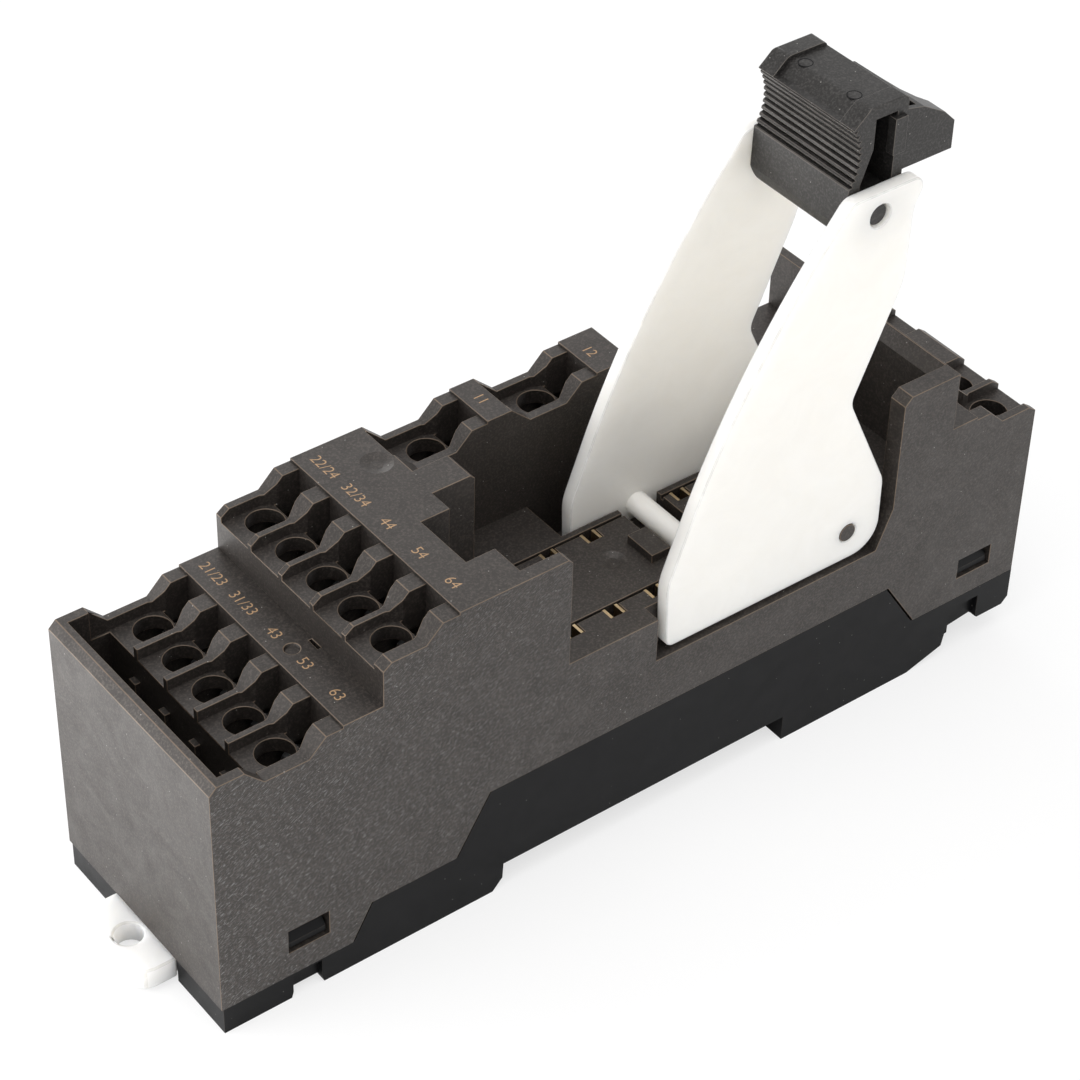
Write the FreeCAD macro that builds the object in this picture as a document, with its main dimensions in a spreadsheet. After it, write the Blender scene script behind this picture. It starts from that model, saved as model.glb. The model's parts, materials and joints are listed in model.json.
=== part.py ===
"""Relay socket for a narrow six-pole relay, on a 35 mm rail, with push-in terminals.

All lengths are in millimetres. X runs along the socket from the latch end, Y from the
visible long side to the back, Z up. The outlines are drawn from the outer face of the
end wall (X), the visible side (Y) and the foot (Z), and every piece is then placed so
that the origin is the middle of the underside of the whole socket.
"""
import FreeCAD, Part
import math
import os
import re
import Sketcher

V = FreeCAD.Vector
ALONG_X, ALONG_Y, ALONG_Z = V(1, 0, 0), V(0, 1, 0), V(0, 0, 1)

DIMENSIONS = {
    # Housing, side view
    "CoilRun": 11.8,
    "BackMargin": 3.11,
    "WallThickness": 1.3,
    "EndChamfer": 0.8,
    "SkirtHeight": 3.3,
    "SkirtEnd": 14.8,
    "StepStart": 17.05,
    "StepHeight": 7.4,
    "StepEnd": 26.94,
    "ArchStart": 30.88,
    "ArchHeight": 14.03,
    "ArchRun": 18.42,
    "FarSkirtRun": 14.2,
    "FarSkirtHeight": 7.57,
    "CavityCeiling": 17.0,
    # Terminal form, measured inwards from the front edge of its floor
    "LowFloor": 28.4,
    "TierRise": 6.9,
    "FinNose": 0.6,
    "FinLow": 1.3,
    "FinHigh": 3.1,
    "PlateRise": 3.4,
    "NoseRun": 0.95,
    "LowRun": 4.75,
    "SlopeRun": 6.6,
    "PlateRun": 8.45,
    "FloorRun": 5.6,
    "TerminalPitch": 5.16,
    "FirstTerminal": 3.75,
    "PocketWidth": 4.5,
    "SlotWidth": 3.1,
    "HoleDiameter": 3.8,
    "HoleRun": 3.5,
    "FloorThickness": 1.6,
    "ChamberStart": 0.9,
    "ChamberEnd": 8.1,
    "ChamberWidth": 4.3,
    # Places of the terminals
    "TierOne": 5.8,
    "TierTwo": 18.65,
    "StripLead": 2.7,
    "StripPitch": 13.4,
    "StripInset": 3.29,
    "StripShelf": 2.0,
    "LedgeRun": 4.3,
    "CoilPitch": 5.16,
    "FirstCoil": 3.2,
    "CoilBackMargin": 3.24,
    # Trough behind the end wall
    "EndWall": 1.55,
    "SideWall": 1.1,
    "SideSlope": 3.75,
    "TroughFloor": 20.0,
    "TroughRib": 1.1,
    "TroughRibDepth": 0.6,
    "TroughRibTop": 25.8,
    # Relay bay
    "BayStart": 40.0,
    "SeatHeight": 25.65,
    "BayMiddle": 8.8,
    "RecessLength": 5.0,
    "RecessFront": 1.55,
    "RecessBack": 15.3,
    "GripLength": 3.3,
    "GripFront": 5.4,
    "GripBack": 12.5,
    "GripFloor": 27.0,
    "CornerCut": 0.5,
    "NotchStart": 50.8,
    "NotchEnd": 79.25,
    "NotchSill": 20.35,
    "NotchRise": 24.9,
    "PillarStart": 81.1,
    "PillarDepth": 2.1,
    "PillarCut": 0.9,
    "Riser": 88.4,
    "RiserWall": 1.1,
    "LeadIn": 1.7,
    "LeadInDepth": 0.9,
    # Seat
    "RowSpacing": 10.16,
    "ClipPitch": 5.1,
    "FirstClip": 38.0,
    "FarClip": 64.7,
    "SlotLength": 1.9,
    "SlotDepth": 1.7,
    "GrooveWidth": 0.35,
    "GrooveDepth": 0.5,
    "LocatorStart": 55.5,
    "LocatorLength": 2.4,
    "LocatorFront": 7.0,
    "LocatorWidth": 3.9,
    "LocatorHeight": 0.95,
    "TopDimple": 3.3,
    "SeatDimple": 2.8,
    "PlateDimple": 1.6,
    "DimpleFloor": 1.3,
    "DimpleDepth": 0.3,
    "LabelSlotLength": 1.5,
    "LabelSlotWidth": 0.35,
    # Snap windows and tongues
    "NearWindow": 7.6,
    "NearWindowSill": 6.3,
    "NearWindowHead": 9.2,
    "FarWindowRun": 8.4,
    "FarWindowSill": 10.35,
    "FarWindowHead": 12.9,
    "WindowLength": 4.6,
    "TongueThickness": 1.1,
    "SnapGap": 0.25,
    # Base
    "BaseInset": 0.1,
    "BaseWall": 1.4,
    "BaseFloor": 4.7,
    "FootStart": 0.25,
    "FootEnd": 7.8,
    "WebHeight": 0.73,
    "BlockStart": 11.5,
    "RailStart": 32.7,
    "RailEnd": 68.6,
    "RailCeiling": 3.14,
    "RailRamp": 1.3,
    "FarBlockRun": 14.1,
    "FarRampRun": 9.0,
    "FarRampHeight": 1.4,
    "FarStepHeight": 2.9,
    "FarFootRun": 4.3,
    "FarFootHeight": 2.9,
    "WebInset": 0.8,
    "HookReach": 1.2,
    "HookWidth": 15.5,
    "LipGap": 1.14,
    # Rail latch
    "TabReach": 4.0,
    "TabWidth": 10.7,
    "LatchWidth": 9.0,
    "LatchTop": 3.0,
    "LatchBottom": 1.0,
    "TabBottom": 0.5,
    "TabCorner": 1.9,
    "TabHole": 2.9,
    "TabHolePlace": 1.7,
    "NoseReach": 1.9,
    "LatchTravel": 3.0,
    "LatchGap": 0.15,
    "RunnerWidth": 1.5,
    "WindowStart": 13.9,
    "SpringLength": 8.0,
    "SpringDiameter": 2.1,
    "SpringWire": 0.35,
    "SpringTurns": 5.0,
    "SpringSeat": 0.05,
    "WireSides": 5.0,
    "PostLength": 1.4,
    # Retaining lever
    "PlateThickness": 1.5,
    "PlateBottom": 20.85,
    "PlateGap": 13.7,
    "PlateTop": 65.0,
    "PlateStart": 52.3,
    "PlateEnd": 79.7,
    "WaistPlace": 74.1,
    "WaistHeight": 41.1,
    "PivotPlace": 75.45,
    "PivotHeight": 24.25,
    "PivotDiameter": 2.0,
    "PivotClearance": 0.05,
    "RodPlace": 60.4,
    "RodHeight": 25.35,
    "RodDiameter": 2.5,
    "RodGrooveLength": 5.0,
    "PinPlace": 75.2,
    "PinHeight": 62.4,
    "PinDiameter": 2.2,
    "PinRelief": 0.15,
    "PinInset": 0.4,
    # Lever outline: distances between its corners and their radii
    "LeverCorner": 1.0,
    "HeelRadius": 3.3,
    "BackLean": 0.1,
    "BackRise": 8.5,
    "BackRadius": 3.0,
    "WaistRadius": 2.0,
    "NeckLean": 0.3,
    "NeckRise": 12.4,
    "NeckRadius": 9.0,
    "EarDrop": 3.2,
    "EarRadius": 4.0,
    "EarReach": 1.5,
    "TopRadius": 1.2,
    "BrowRun": 19.4,
    "BrowRadius": 1.6,
    "FrontRun": 7.3,
    "FrontDrop": 15.4,
    "FrontRadius": 100.0,
    "KneeLean": 0.3,
    "KneeRise": 7.7,
    "KneeRadius": 6.0,
    # Release handle
    "HandleGap": 0.1,
    "GripFace": 72.4,
    "HandleTop": 73.4,
    "HandleBottom": 59.4,
    "HandleEnd": 79.0,
    "HandleCorner": 1.8,
    "HandleEdge": 0.3,
    "FootLead": 0.4,
    "FootCorner": 1.0,
    "FootRise": 1.7,
    "RoofLead": 1.8,
    "RoofCorner": 1.2,
    "RoofEndCorner": 0.6,
    "GripTop": 71.8,
    "GripFoot": 65.4,
    "GripHollow": 0.9,
    "RibCount": 10.0,
    "RibDepth": 0.35,
    "RibShare": 0.6,
    "VoidTop": 72.1,
    "VoidStart": 75.05,
    "VoidFoot": 73.8,
    "VoidEnd": 77.7,
    "VoidBend": 68.9,
    "VoidFloor": 63.9,
    "VoidWall": 1.5,
    "PadStart": 77.1,
    "PadLength": 1.5,
    "PadBottom": 67.7,
    "PadHeight": 3.9,
    "PadProud": 0.5,
    "WingBottom": 65.3,
    "WingEnd": 85.2,
    "WingWidth": 9.65,
    "WingPlate": 1.95,
    "WingRoot": 2.0,
    "WingSweep": 1.5,
    "WingTop": 72.05,
    "WingShoulder": 71.4,
    "WingHip": 69.8,
    "WingHipRun": 1.4,
    "WingTip": 68.4,
    "WingPocketLength": 1.5,
    "WingPocketFloor": 67.0,
    "WingPocketStart": 0.6,
    "WingPocketEnd": 5.45,
    "PanelDepth": 0.4,
    "PanelMargin": 2.1,
    # Contacts
    "SheetThickness": 0.6,
    "BarWidth": 0.7,
    "LowBar": 14.5,
    "HighBar": 15.9,
    "BladeWidth": 3.4,
    "BladeRun": 1.4,
    "ClipFoot": 17.3,
    "ClipFootWidth": 4.2,
    "ClipSpacing": 1.46,
    "LeafThickness": 0.32,
    "LeafWidth": 1.4,
    "LeafDrop": 0.15,
    "LaneOffset": 0.9,
    "JogPitch": 1.2,
    # Clamp springs
    "StripThickness": 0.3,
    "ClampWidth": 3.4,
    "ClampRadius": 1.25,
    "ClampHeight": 7.6,
    "ClampGap": 0.28,
    "ClampDrop": 0.45,
    "ClampFolds": 5.0,
}

doc = FreeCAD.newDocument("relay_socket")
sheet = doc.addObject("Spreadsheet::Sheet", "Size")
for row, (alias, value) in enumerate(DIMENSIONS.items(), start=1):
    sheet.set(f"A{row}", alias)
    sheet.set(f"B{row}", str(value))
    sheet.setAlias(f"B{row}", alias)
doc.recompute()

# Lengths that follow from the cells: the body is as wide as its terminals and as long as
# its relay bay and coil end make it
TIES = {
    "BodyLength": "Riser + CoilRun",
    "BodyWidth": "FirstTerminal + 4*TerminalPitch + BackMargin",
    "StripTerminal": "FirstTerminal + 4*TerminalPitch",
    "StripFace": "StripTerminal - StripInset",
    "StripEdge": "StripFace - StripShelf",
    "StripOne": "BayStart - StripLead",
    "SecondCoil": "BodyWidth - CoilBackMargin - CoilPitch",
    "RecessStart": "BayStart - RecessLength",
    "GripStart": "RecessStart - GripLength",
    "FarWall": "Riser - RiserWall",
    "ArchEnd": "BodyLength - ArchRun",
    "FarSkirtStart": "BodyLength - FarSkirtRun",
    "FarWindow": "BodyLength - FarWindowRun",
    "FarBlockEnd": "BodyLength - FarBlockRun",
    "FarRampEnd": "BodyLength - FarRampRun",
    "FarFootStart": "BodyLength - FarFootRun",
    "PlateFace": "BayMiddle - PlateGap/2 - PlateThickness",
}


def formula(text):
    """Turn a text of names into a formula that reads the sheet and the tied lengths."""
    return re.sub(r"\b[A-Z]\w+", lambda word: f"{'Tied' if word[0] in TIES else 'Size'}.{word[0]}", text)


tied = doc.addObject("App::VarSet", "Tied")
for alias, text in TIES.items():
    tied.addProperty("App::PropertyFloat", alias)
    tied.setExpression(alias, formula(text))
doc.recompute()


def size(alias):
    """Return the value of one cell of the sheet or of one tied length."""
    return float(getattr(tied if alias in TIES else sheet, alias))


def bind(item, prop, text):
    """Bind a property to a formula."""
    item.setExpression(prop, formula(text))


def place(item, x="0", y="0", z="0"):
    """Bind an object's place to three formulas."""
    bind(item, "Placement.Base.x", x)
    bind(item, "Placement.Base.y", y)
    bind(item, "Placement.Base.z", z)


def box(x, y, z, length, width, height, name="Box"):
    """Add a box with its low corner and sizes given by formulas."""
    item = doc.addObject("Part::Box", name)
    bind(item, "Length", length)
    bind(item, "Width", width)
    bind(item, "Height", height)
    place(item, x, y, z)
    return item


def pin(x, y, z, radius, length, axis=ALONG_Z, name="Pin"):
    """Add a cylinder that starts at a point and runs along an axis."""
    item = doc.addObject("Part::Cylinder", name)
    item.Placement.Rotation = FreeCAD.Rotation(ALONG_Z, axis)
    bind(item, "Radius", radius)
    bind(item, "Height", length)
    place(item, x, y, z)
    return item


def cone(x, y, z, low_radius, top_radius, height, name="Cone"):
    """Add an upright cone."""
    item = doc.addObject("Part::Cone", name)
    bind(item, "Radius1", low_radius)
    bind(item, "Radius2", top_radius)
    bind(item, "Height", height)
    place(item, x, y, z)
    return item


def outline(points, name):
    """Draw a closed outline in a sketch, each corner held by two formulas."""
    sketch = doc.addObject("Sketcher::SketchObject", name)
    count = len(points)
    start = [V(10 * math.cos(2 * math.pi * i / count), 10 * math.sin(2 * math.pi * i / count), 0)
             for i in range(count)]
    for i in range(count):
        sketch.addGeometry(Part.LineSegment(start[i], start[(i + 1) % count]), False)
    for i in range(count):
        sketch.addConstraint(Sketcher.Constraint("Coincident", i, 2, (i + 1) % count, 1))
    for i, (across, up) in enumerate(points):
        number = sketch.addConstraint(Sketcher.Constraint("DistanceX", -1, 1, i, 1, start[i].x))
        sketch.setExpression(f"Constraints[{number}]", formula(across))
        number = sketch.addConstraint(Sketcher.Constraint("DistanceY", -1, 1, i, 1, start[i].y))
        sketch.setExpression(f"Constraints[{number}]", formula(up))
    return sketch


def side_prism(points, y, width, name):
    """Extrude an outline of the side view (X, Z) along Y."""
    sketch = outline(points, f"{name}_outline")
    sketch.Placement.Rotation = FreeCAD.Rotation(ALONG_X, 90)
    place(sketch, "0", y, "0")
    item = doc.addObject("Part::Extrusion", name)
    item.Base = sketch
    item.DirMode = "Custom"
    item.Dir = ALONG_Y
    item.Solid = True
    bind(item, "LengthFwd", width)
    return item


def plan_prism(points, x, y, z, height, name):
    """Extrude an outline of the plan (X, Y) upwards from a place."""
    sketch = outline(points, f"{name}_outline")
    place(sketch, x, y, z)
    item = doc.addObject("Part::Extrusion", name)
    item.Base = sketch
    item.DirMode = "Custom"
    item.Dir = ALONG_Z
    item.Solid = True
    bind(item, "LengthFwd", height)
    return item


def join(items, name):
    """Fuse several solids into one."""
    item = doc.addObject("Part::MultiFuse", name)
    item.Shapes = items
    return item


def cut(base, tools, name):
    """Cut several solids out of one."""
    item = doc.addObject("Part::Cut", name)
    item.Base = base
    item.Tool = tools[0] if len(tools) == 1 else join(tools, f"{name}_tools")
    return item


def finish(item, label):
    """Name a sub-part and put it in the socket's frame."""
    item.Label = label
    if item.TypeId == "Part::Feature":
        item.Placement.Base = frame_shift()
    else:
        place(item, "(TabReach - BodyLength - BaseInset)/2", "-BodyWidth/2", "0")
    sub_parts.append(item)
    return item


def frame_shift():
    """The move from the drawing's corner to the middle of the underside."""
    return V((size("TabReach") - size("BodyLength") - size("BaseInset")) / 2, -size("BodyWidth") / 2, 0)


def rounded_face(corners):
    """A face in the side view from corners (x, z, radius), with tangent arcs at the corners."""
    count = len(corners)
    pieces = []
    joints = []
    for i, (x, z, radius) in enumerate(corners):
        here = V(x, 0, z)
        back = V(corners[i - 1][0], 0, corners[i - 1][1])
        ahead = V(corners[(i + 1) % count][0], 0, corners[(i + 1) % count][1])
        to_back = (back - here).normalize()
        to_ahead = (ahead - here).normalize()
        half = to_back.getAngle(to_ahead) / 2
        run = radius / math.tan(half)
        first = here + to_back * run
        last = here + to_ahead * run
        middle_way = (to_back + to_ahead).normalize()
        middle = here + middle_way * (radius / math.sin(half) - radius)
        joints.append((first, middle, last, radius))
    for i in range(count):
        first, middle, last, radius = joints[i]
        if radius > 0:
            pieces.append(Part.Arc(first, middle, last).toShape())
        following = joints[(i + 1) % count][0]
        if (following - last).Length > 1e-6:
            pieces.append(Part.LineSegment(last, following).toShape())
    return Part.Face(Part.Wire(pieces))


sub_parts = []
TIERS = (("TierOne", "LowFloor"), ("TierTwo", "LowFloor + TierRise"))
TERMINAL_COUNT = 5
UPPER_FLOOR = "LowFloor + TierRise"
UPPER_TOP = "LowFloor + TierRise + PlateRise"
ABOVE = "LowFloor + TierRise + PlateRise + 5"
COIL_TERMINALS = ("FirstCoil", "FirstCoil + CoilPitch", "SecondCoil", "SecondCoil + CoilPitch")
ROW_FRONT = "BayMiddle - RowSpacing/2"
ROW_BACK = "BayMiddle + RowSpacing/2"
CLIPS = (*(f"FirstClip + {k}*ClipPitch" for k in range(4)), *(f"FarClip + {k}*ClipPitch" for k in range(3)))


def terminal_places():
    """Every terminal as (front edge of floor, floor height, middle, direction, number)."""
    places = []
    numbers = (("21_23", "31_33", "43", "53", "63"), ("22_24", "32_34", "44", "54", "64"))
    for tier, (start, floor) in enumerate(TIERS):
        for k in range(TERMINAL_COUNT):
            middle = f"FirstTerminal + {TERMINAL_COUNT - 1 - k}*TerminalPitch"
            places.append((start, floor, middle, 1, numbers[tier][k]))
    for k, number in enumerate(("11", "12")):
        places.append((f"StripOne + {k}*StripPitch", UPPER_FLOOR, "StripTerminal", 1, number))
    for middle, number in zip(COIL_TERMINALS, ("a1_1", "a1_2", "a2_1", "a2_2")):
        places.append(("BodyLength", "LowFloor", middle, -1, number))
    return places


TERMINALS = terminal_places()


def along(start, run, direction):
    """The place that lies a run inwards from a terminal's front edge."""
    return f"{start} + {run}" if direction > 0 else f"{start} - ({run})"


# Housing: the outer form, one outline extruded over the whole width
def housing_blank():
    """The outer form, with the stepped top and the arched lower edge."""
    points = [
        ("0", "SkirtHeight"),
        ("0", "LowFloor + PlateRise - EndChamfer"),
        ("EndChamfer", "LowFloor + PlateRise"),
        ("TierTwo", "LowFloor + PlateRise"),
        ("TierTwo", UPPER_TOP),
        ("Riser", UPPER_TOP),
        ("Riser", "LowFloor + PlateRise"),
        ("BodyLength", "LowFloor + PlateRise"),
        ("BodyLength", "FarSkirtHeight"),
        ("FarSkirtStart", "FarSkirtHeight"),
        ("ArchEnd", "ArchHeight"),
        ("ArchStart", "ArchHeight"),
        ("StepEnd", "StepHeight"),
        ("StepStart", "StepHeight"),
        ("SkirtEnd", "SkirtHeight"),
    ]
    return side_prism(points, "0", "BodyWidth", "housing_blank")


def fin_profile_cut(start, floor, direction, name):
    """The space above the fins of one row of terminals: low in front, then a slope up."""
    def at(run):
        return along(start, run, direction)

    if start == "TierOne":
        front = [("SideSlope", f"{floor} + PlateRise"), (at("0"), f"{floor} + FinLow"),
                 (at("NoseRun"), f"{floor} + FinLow")]
        outer = ("SideSlope", ABOVE)
    else:
        front = [(along(start, "-1", direction), f"{floor} + FinNose"), (at("0"), f"{floor} + FinNose"),
                 (at("NoseRun"), f"{floor} + FinLow")]
        outer = (along(start, "-1", direction), ABOVE)
    points = front + [
        (at("LowRun"), f"{floor} + FinLow"),
        (at("SlopeRun"), f"{floor} + FinHigh"),
        (at("PlateRun"), f"{floor} + FinHigh"),
        (at("PlateRun"), ABOVE),
        outer,
    ]
    return side_prism(points, "-1", "BodyWidth + 2", name)


def terminal_pocket(start, floor, middle, direction, name):
    """The pocket between two fins: wide over the wire entry, narrow over the release slot."""
    sign = "" if direction > 0 else "-"
    points = [
        (f"{sign}(0 - 2)", "-PocketWidth/2"),
        (f"{sign}(LowRun - 0.4)", "-PocketWidth/2"),
        (f"{sign}(FloorRun + 0.3)", "-SlotWidth/2"),
        (f"{sign}PlateRun", "-SlotWidth/2"),
        (f"{sign}PlateRun", "SlotWidth/2"),
        (f"{sign}(FloorRun + 0.3)", "SlotWidth/2"),
        (f"{sign}(LowRun - 0.4)", "PocketWidth/2"),
        (f"{sign}(0 - 2)", "PocketWidth/2"),
    ]
    return plan_prism(points, start, middle, floor, "PlateRise + 3", name)


def terminal_openings(start, floor, middle, direction, number):
    """The wire entry, the release slot and the clamp chamber under one terminal."""
    entry = pin(along(start, "HoleRun", direction), middle, f"{floor} - FloorThickness - 0.1",
                "HoleDiameter/2", "FloorThickness + 0.2", name=f"entry_{number}")
    slot_low = along(start, "FloorRun" if direction > 0 else "PlateRun", direction)
    slot = box(slot_low, f"{middle} - SlotWidth/2", f"{floor} - FloorThickness - 0.1",
               "PlateRun - FloorRun", "SlotWidth", "FloorThickness + 1", f"release_{number}")
    chamber_low = along(start, "ChamberStart" if direction > 0 else "ChamberEnd", direction)
    chamber = box(chamber_low, f"{middle} - ChamberWidth/2", "CavityCeiling - 0.5",
                  "ChamberEnd - ChamberStart", "ChamberWidth",
                  f"{floor} - FloorThickness - CavityCeiling + 0.5", f"chamber_{number}")
    return [entry, slot, chamber]


def bay_cuts():
    """The relay bay, its grip recesses, the lever's slots and the rod's groove."""
    bay = box("BayStart", "-1", "SeatHeight", "PillarStart - BayStart", "StripFace + 1", "20", "bay")
    bay_end = box("PillarStart - 1", "PillarDepth", "SeatHeight", "FarWall - PillarStart + 1",
                  "StripFace - PillarDepth", "20", "bay_end")
    recess = box("RecessStart", "RecessFront", "SeatHeight", "BayStart - RecessStart + 1",
                 "RecessBack - RecessFront", "20", "bay_recess")
    grip = box("GripStart", "GripFront", "GripFloor", "RecessStart - GripStart + 1",
               "GripBack - GripFront", "20", "grip_recess")
    notch = side_prism([("NotchStart", "NotchSill"), ("NotchEnd", "NotchSill"),
                        ("PillarStart", "NotchRise"), ("PillarStart", "SeatHeight + 1"),
                        ("NotchStart", "SeatHeight + 1")],
                       "-1", "1 + BayMiddle - PlateGap/2 + 0.2", "lever_notch")
    back_slot = side_prism([("NotchStart", "NotchSill"), ("NotchEnd", "NotchSill"),
                            ("PillarStart", "NotchRise"), ("PillarStart + 1", "SeatHeight + 1"),
                            ("NotchStart", "SeatHeight + 1")],
                           "BayMiddle + PlateGap/2 - 0.2", "StripFace - BayMiddle - PlateGap/2 + 0.2",
                           "lever_slot")
    groove = box("RodPlace - RodGrooveLength/2", "0", "RodHeight - RodDiameter/2 - 0.5", "RodGrooveLength",
                 "BayMiddle + PlateGap/2 + 0.5", "10", "rod_groove")
    lead_in = side_prism([("FarWall - 0.5", f"{UPPER_TOP} - LeadIn"), ("FarWall", f"{UPPER_TOP} - LeadIn"),
                          ("FarWall + LeadInDepth", UPPER_TOP), ("FarWall + LeadInDepth", ABOVE),
                          ("FarWall - 0.5", ABOVE)], "PillarDepth", "StripFace - PillarDepth", "lead_in")
    corner = side_prism([("BayStart - CornerCut", UPPER_TOP), ("BayStart", f"{UPPER_TOP} - CornerCut"),
                         ("BayStart + 1", f"{UPPER_TOP} - CornerCut"), ("BayStart + 1", ABOVE),
                         ("BayStart - CornerCut", ABOVE)], "-1", "StripEdge + 1", "bay_corner")
    pillar_corner = side_prism([("PillarStart + PillarCut", UPPER_TOP),
                                ("PillarStart", f"{UPPER_TOP} - PillarCut"),
                                ("PillarStart - 1", f"{UPPER_TOP} - PillarCut"), ("PillarStart - 1", ABOVE),
                                ("PillarStart + PillarCut", ABOVE)], "-1", "PillarDepth + 1", "pillar_corner")
    return [bay, bay_end, recess, grip, notch, back_slot, groove, lead_in, corner, pillar_corner]


def strip_cuts():
    """The step beside the two back terminals and the low ledge behind the second one."""
    shelf = box("StripOne", "StripEdge", f"{UPPER_FLOOR} + FinLow", "BayStart - StripOne",
                "StripFace - StripEdge", "10", "strip_step")
    pockets = []
    for k in range(2):
        start = f"StripOne + {k}*StripPitch"
        front = "RecessStart + 0.4" if k == 0 else f"{start} - 2"
        pockets.append(side_prism([
            (front, UPPER_TOP), (f"{start} + 0.3", f"{UPPER_FLOOR} + FinLow"),
            (f"{start} + LowRun", f"{UPPER_FLOOR} + FinLow"),
            (f"{start} + SlopeRun", f"{UPPER_FLOOR} + FinHigh"),
            (f"{start} + PlateRun", f"{UPPER_FLOOR} + FinHigh"), (f"{start} + PlateRun", ABOVE),
            (front, ABOVE)], "StripEdge", "BodyWidth - StripEdge + 1", f"strip_profile_{k}"))
    ledge = box("StripOne + StripPitch + PlateRun + LedgeRun", "StripFace - 1", "LowFloor + PlateRise",
                "FarWall - StripOne - StripPitch - PlateRun - LedgeRun", "BodyWidth - StripFace + 2", "15",
                "strip_ledge")
    return [shelf, *pockets, ledge]


def seat_cuts():
    """Contact slots, with the pocket for each clip's foot below, and the line that joins them."""
    tools = []
    for row, middle in enumerate((ROW_FRONT, ROW_BACK)):
        for number, clip in enumerate(CLIPS):
            tools.append(box(f"{clip} - SlotLength/2", f"{middle} - SlotDepth/2", "CavityCeiling - 0.5",
                             "SlotLength", "SlotDepth", "SeatHeight - CavityCeiling + 1",
                             f"slot_{row}_{number}"))
            tools.append(box(f"{clip} - SlotLength/2 - 0.3", f"{middle} - ClipFootWidth/2 - 0.2",
                             "CavityCeiling - 0.5", "SlotLength + 0.6", "ClipFootWidth + 0.4",
                             "ClipFoot + SheetThickness - CavityCeiling + 0.7",
                             f"clip_pocket_{row}_{number}"))
        tools.append(box("RecessStart", f"{middle} + SlotDepth/2 - GrooveWidth", "SeatHeight - GrooveDepth",
                         "FarClip + 2*ClipPitch + 2 - RecessStart", "GrooveWidth", "3", f"seat_line_{row}"))
    return tools


def dimple_cuts():
    """Shallow dishes that the moulding pins leave, and the label slot."""
    tools = []
    for number, (x, y, top, diameter) in enumerate((
            ("TierTwo + 14.75", "StripFace + 1.0", UPPER_TOP, "TopDimple"),
            ("TierTwo - 2.35", "BayMiddle + 2.5", "LowFloor + PlateRise", "PlateDimple"),
            ("LocatorStart - 2.8", "BayMiddle + 0.8", "SeatHeight", "SeatDimple"))):
        tools.append(cone(x, y, f"{top} - DimpleDepth", "DimpleFloor/2", f"{diameter}/2", "DimpleDepth",
                          f"dimple_{number}"))
    tools.append(box("TierTwo - LabelSlotWidth - 0.1", "FirstTerminal + TerminalPitch + 1.0",
                     "LowFloor + PlateRise - 1", "LabelSlotWidth", "LabelSlotLength", "3", "label_slot"))
    return tools


def housing():
    """One moulding: outer form less the bay, the terminals and the cavity behind them."""
    form = housing_blank()
    outside = [
        fin_profile_cut("TierOne", "LowFloor", 1, "tier_one_fins"),
        fin_profile_cut("TierTwo", UPPER_FLOOR, 1, "tier_two_fins"),
        fin_profile_cut("BodyLength", "LowFloor", -1, "coil_fins"),
        box("EndWall", "SideWall", "TroughFloor", "TierOne - EndWall", "BodyWidth - 2*SideWall",
            "20", "trough"),
    ]
    form = cut(form, outside, "housing_tiers")
    form = cut(form, strip_cuts(), "housing_strip")
    form = cut(form, bay_cuts(), "housing_bay")
    pockets = []
    inner = []
    for start, floor, middle, direction, number in TERMINALS:
        pockets.append(terminal_pocket(start, floor, middle, direction, f"pocket_{number}"))
        inner.extend(terminal_openings(start, floor, middle, direction, number))
    form = cut(form, pockets, "housing_pockets")
    cavity = side_prism([
        ("WallThickness", "0"), ("WallThickness", "CavityCeiling"),
        ("BodyLength - WallThickness", "CavityCeiling"), ("BodyLength - WallThickness", "0")],
        "WallThickness", "BodyWidth - 2*WallThickness", "cavity")
    form = cut(form, [cavity, *inner], "housing_chambers")
    form = cut(form, seat_cuts() + dimple_cuts(), "housing_seat")
    windows = []
    for side in ("-1", "BodyWidth - WallThickness - 0.5"):
        for window, sill, head in (("NearWindow", "NearWindowSill", "NearWindowHead"),
                                   ("FarWindow", "FarWindowSill", "FarWindowHead")):
            windows.append(box(window, side, sill, "WindowLength", "WallThickness + 1.5", f"{head} - {sill}",
                               "window"))
    form = cut(form, windows, "housing_windows")
    added = [
        box("LocatorStart", "LocatorFront", "SeatHeight - 0.5", "LocatorLength", "LocatorWidth",
            "LocatorHeight + 0.5", "locator"),
        pin("PivotPlace", "PlateFace", "PivotHeight", "PivotDiameter/2", "PlateThickness + 0.5", ALONG_Y,
            "front_boss"),
        pin("PivotPlace", "BayMiddle + PlateGap/2 - 0.5", "PivotHeight", "PivotDiameter/2",
            "PlateThickness + 0.5", ALONG_Y, "back_boss"),
    ]
    for k in range(TERMINAL_COUNT - 1):
        added.append(box("TierOne - TroughRibDepth",
                         f"FirstTerminal + {k}*TerminalPitch + TerminalPitch/2 - TroughRib/2",
                         "TroughFloor - 0.1", "TroughRibDepth + 0.1", "TroughRib",
                         "TroughRibTop - TroughFloor + 0.1", "trough_rib"))
    finish(join([form, *added], "housing_solid"), "housing")


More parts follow.
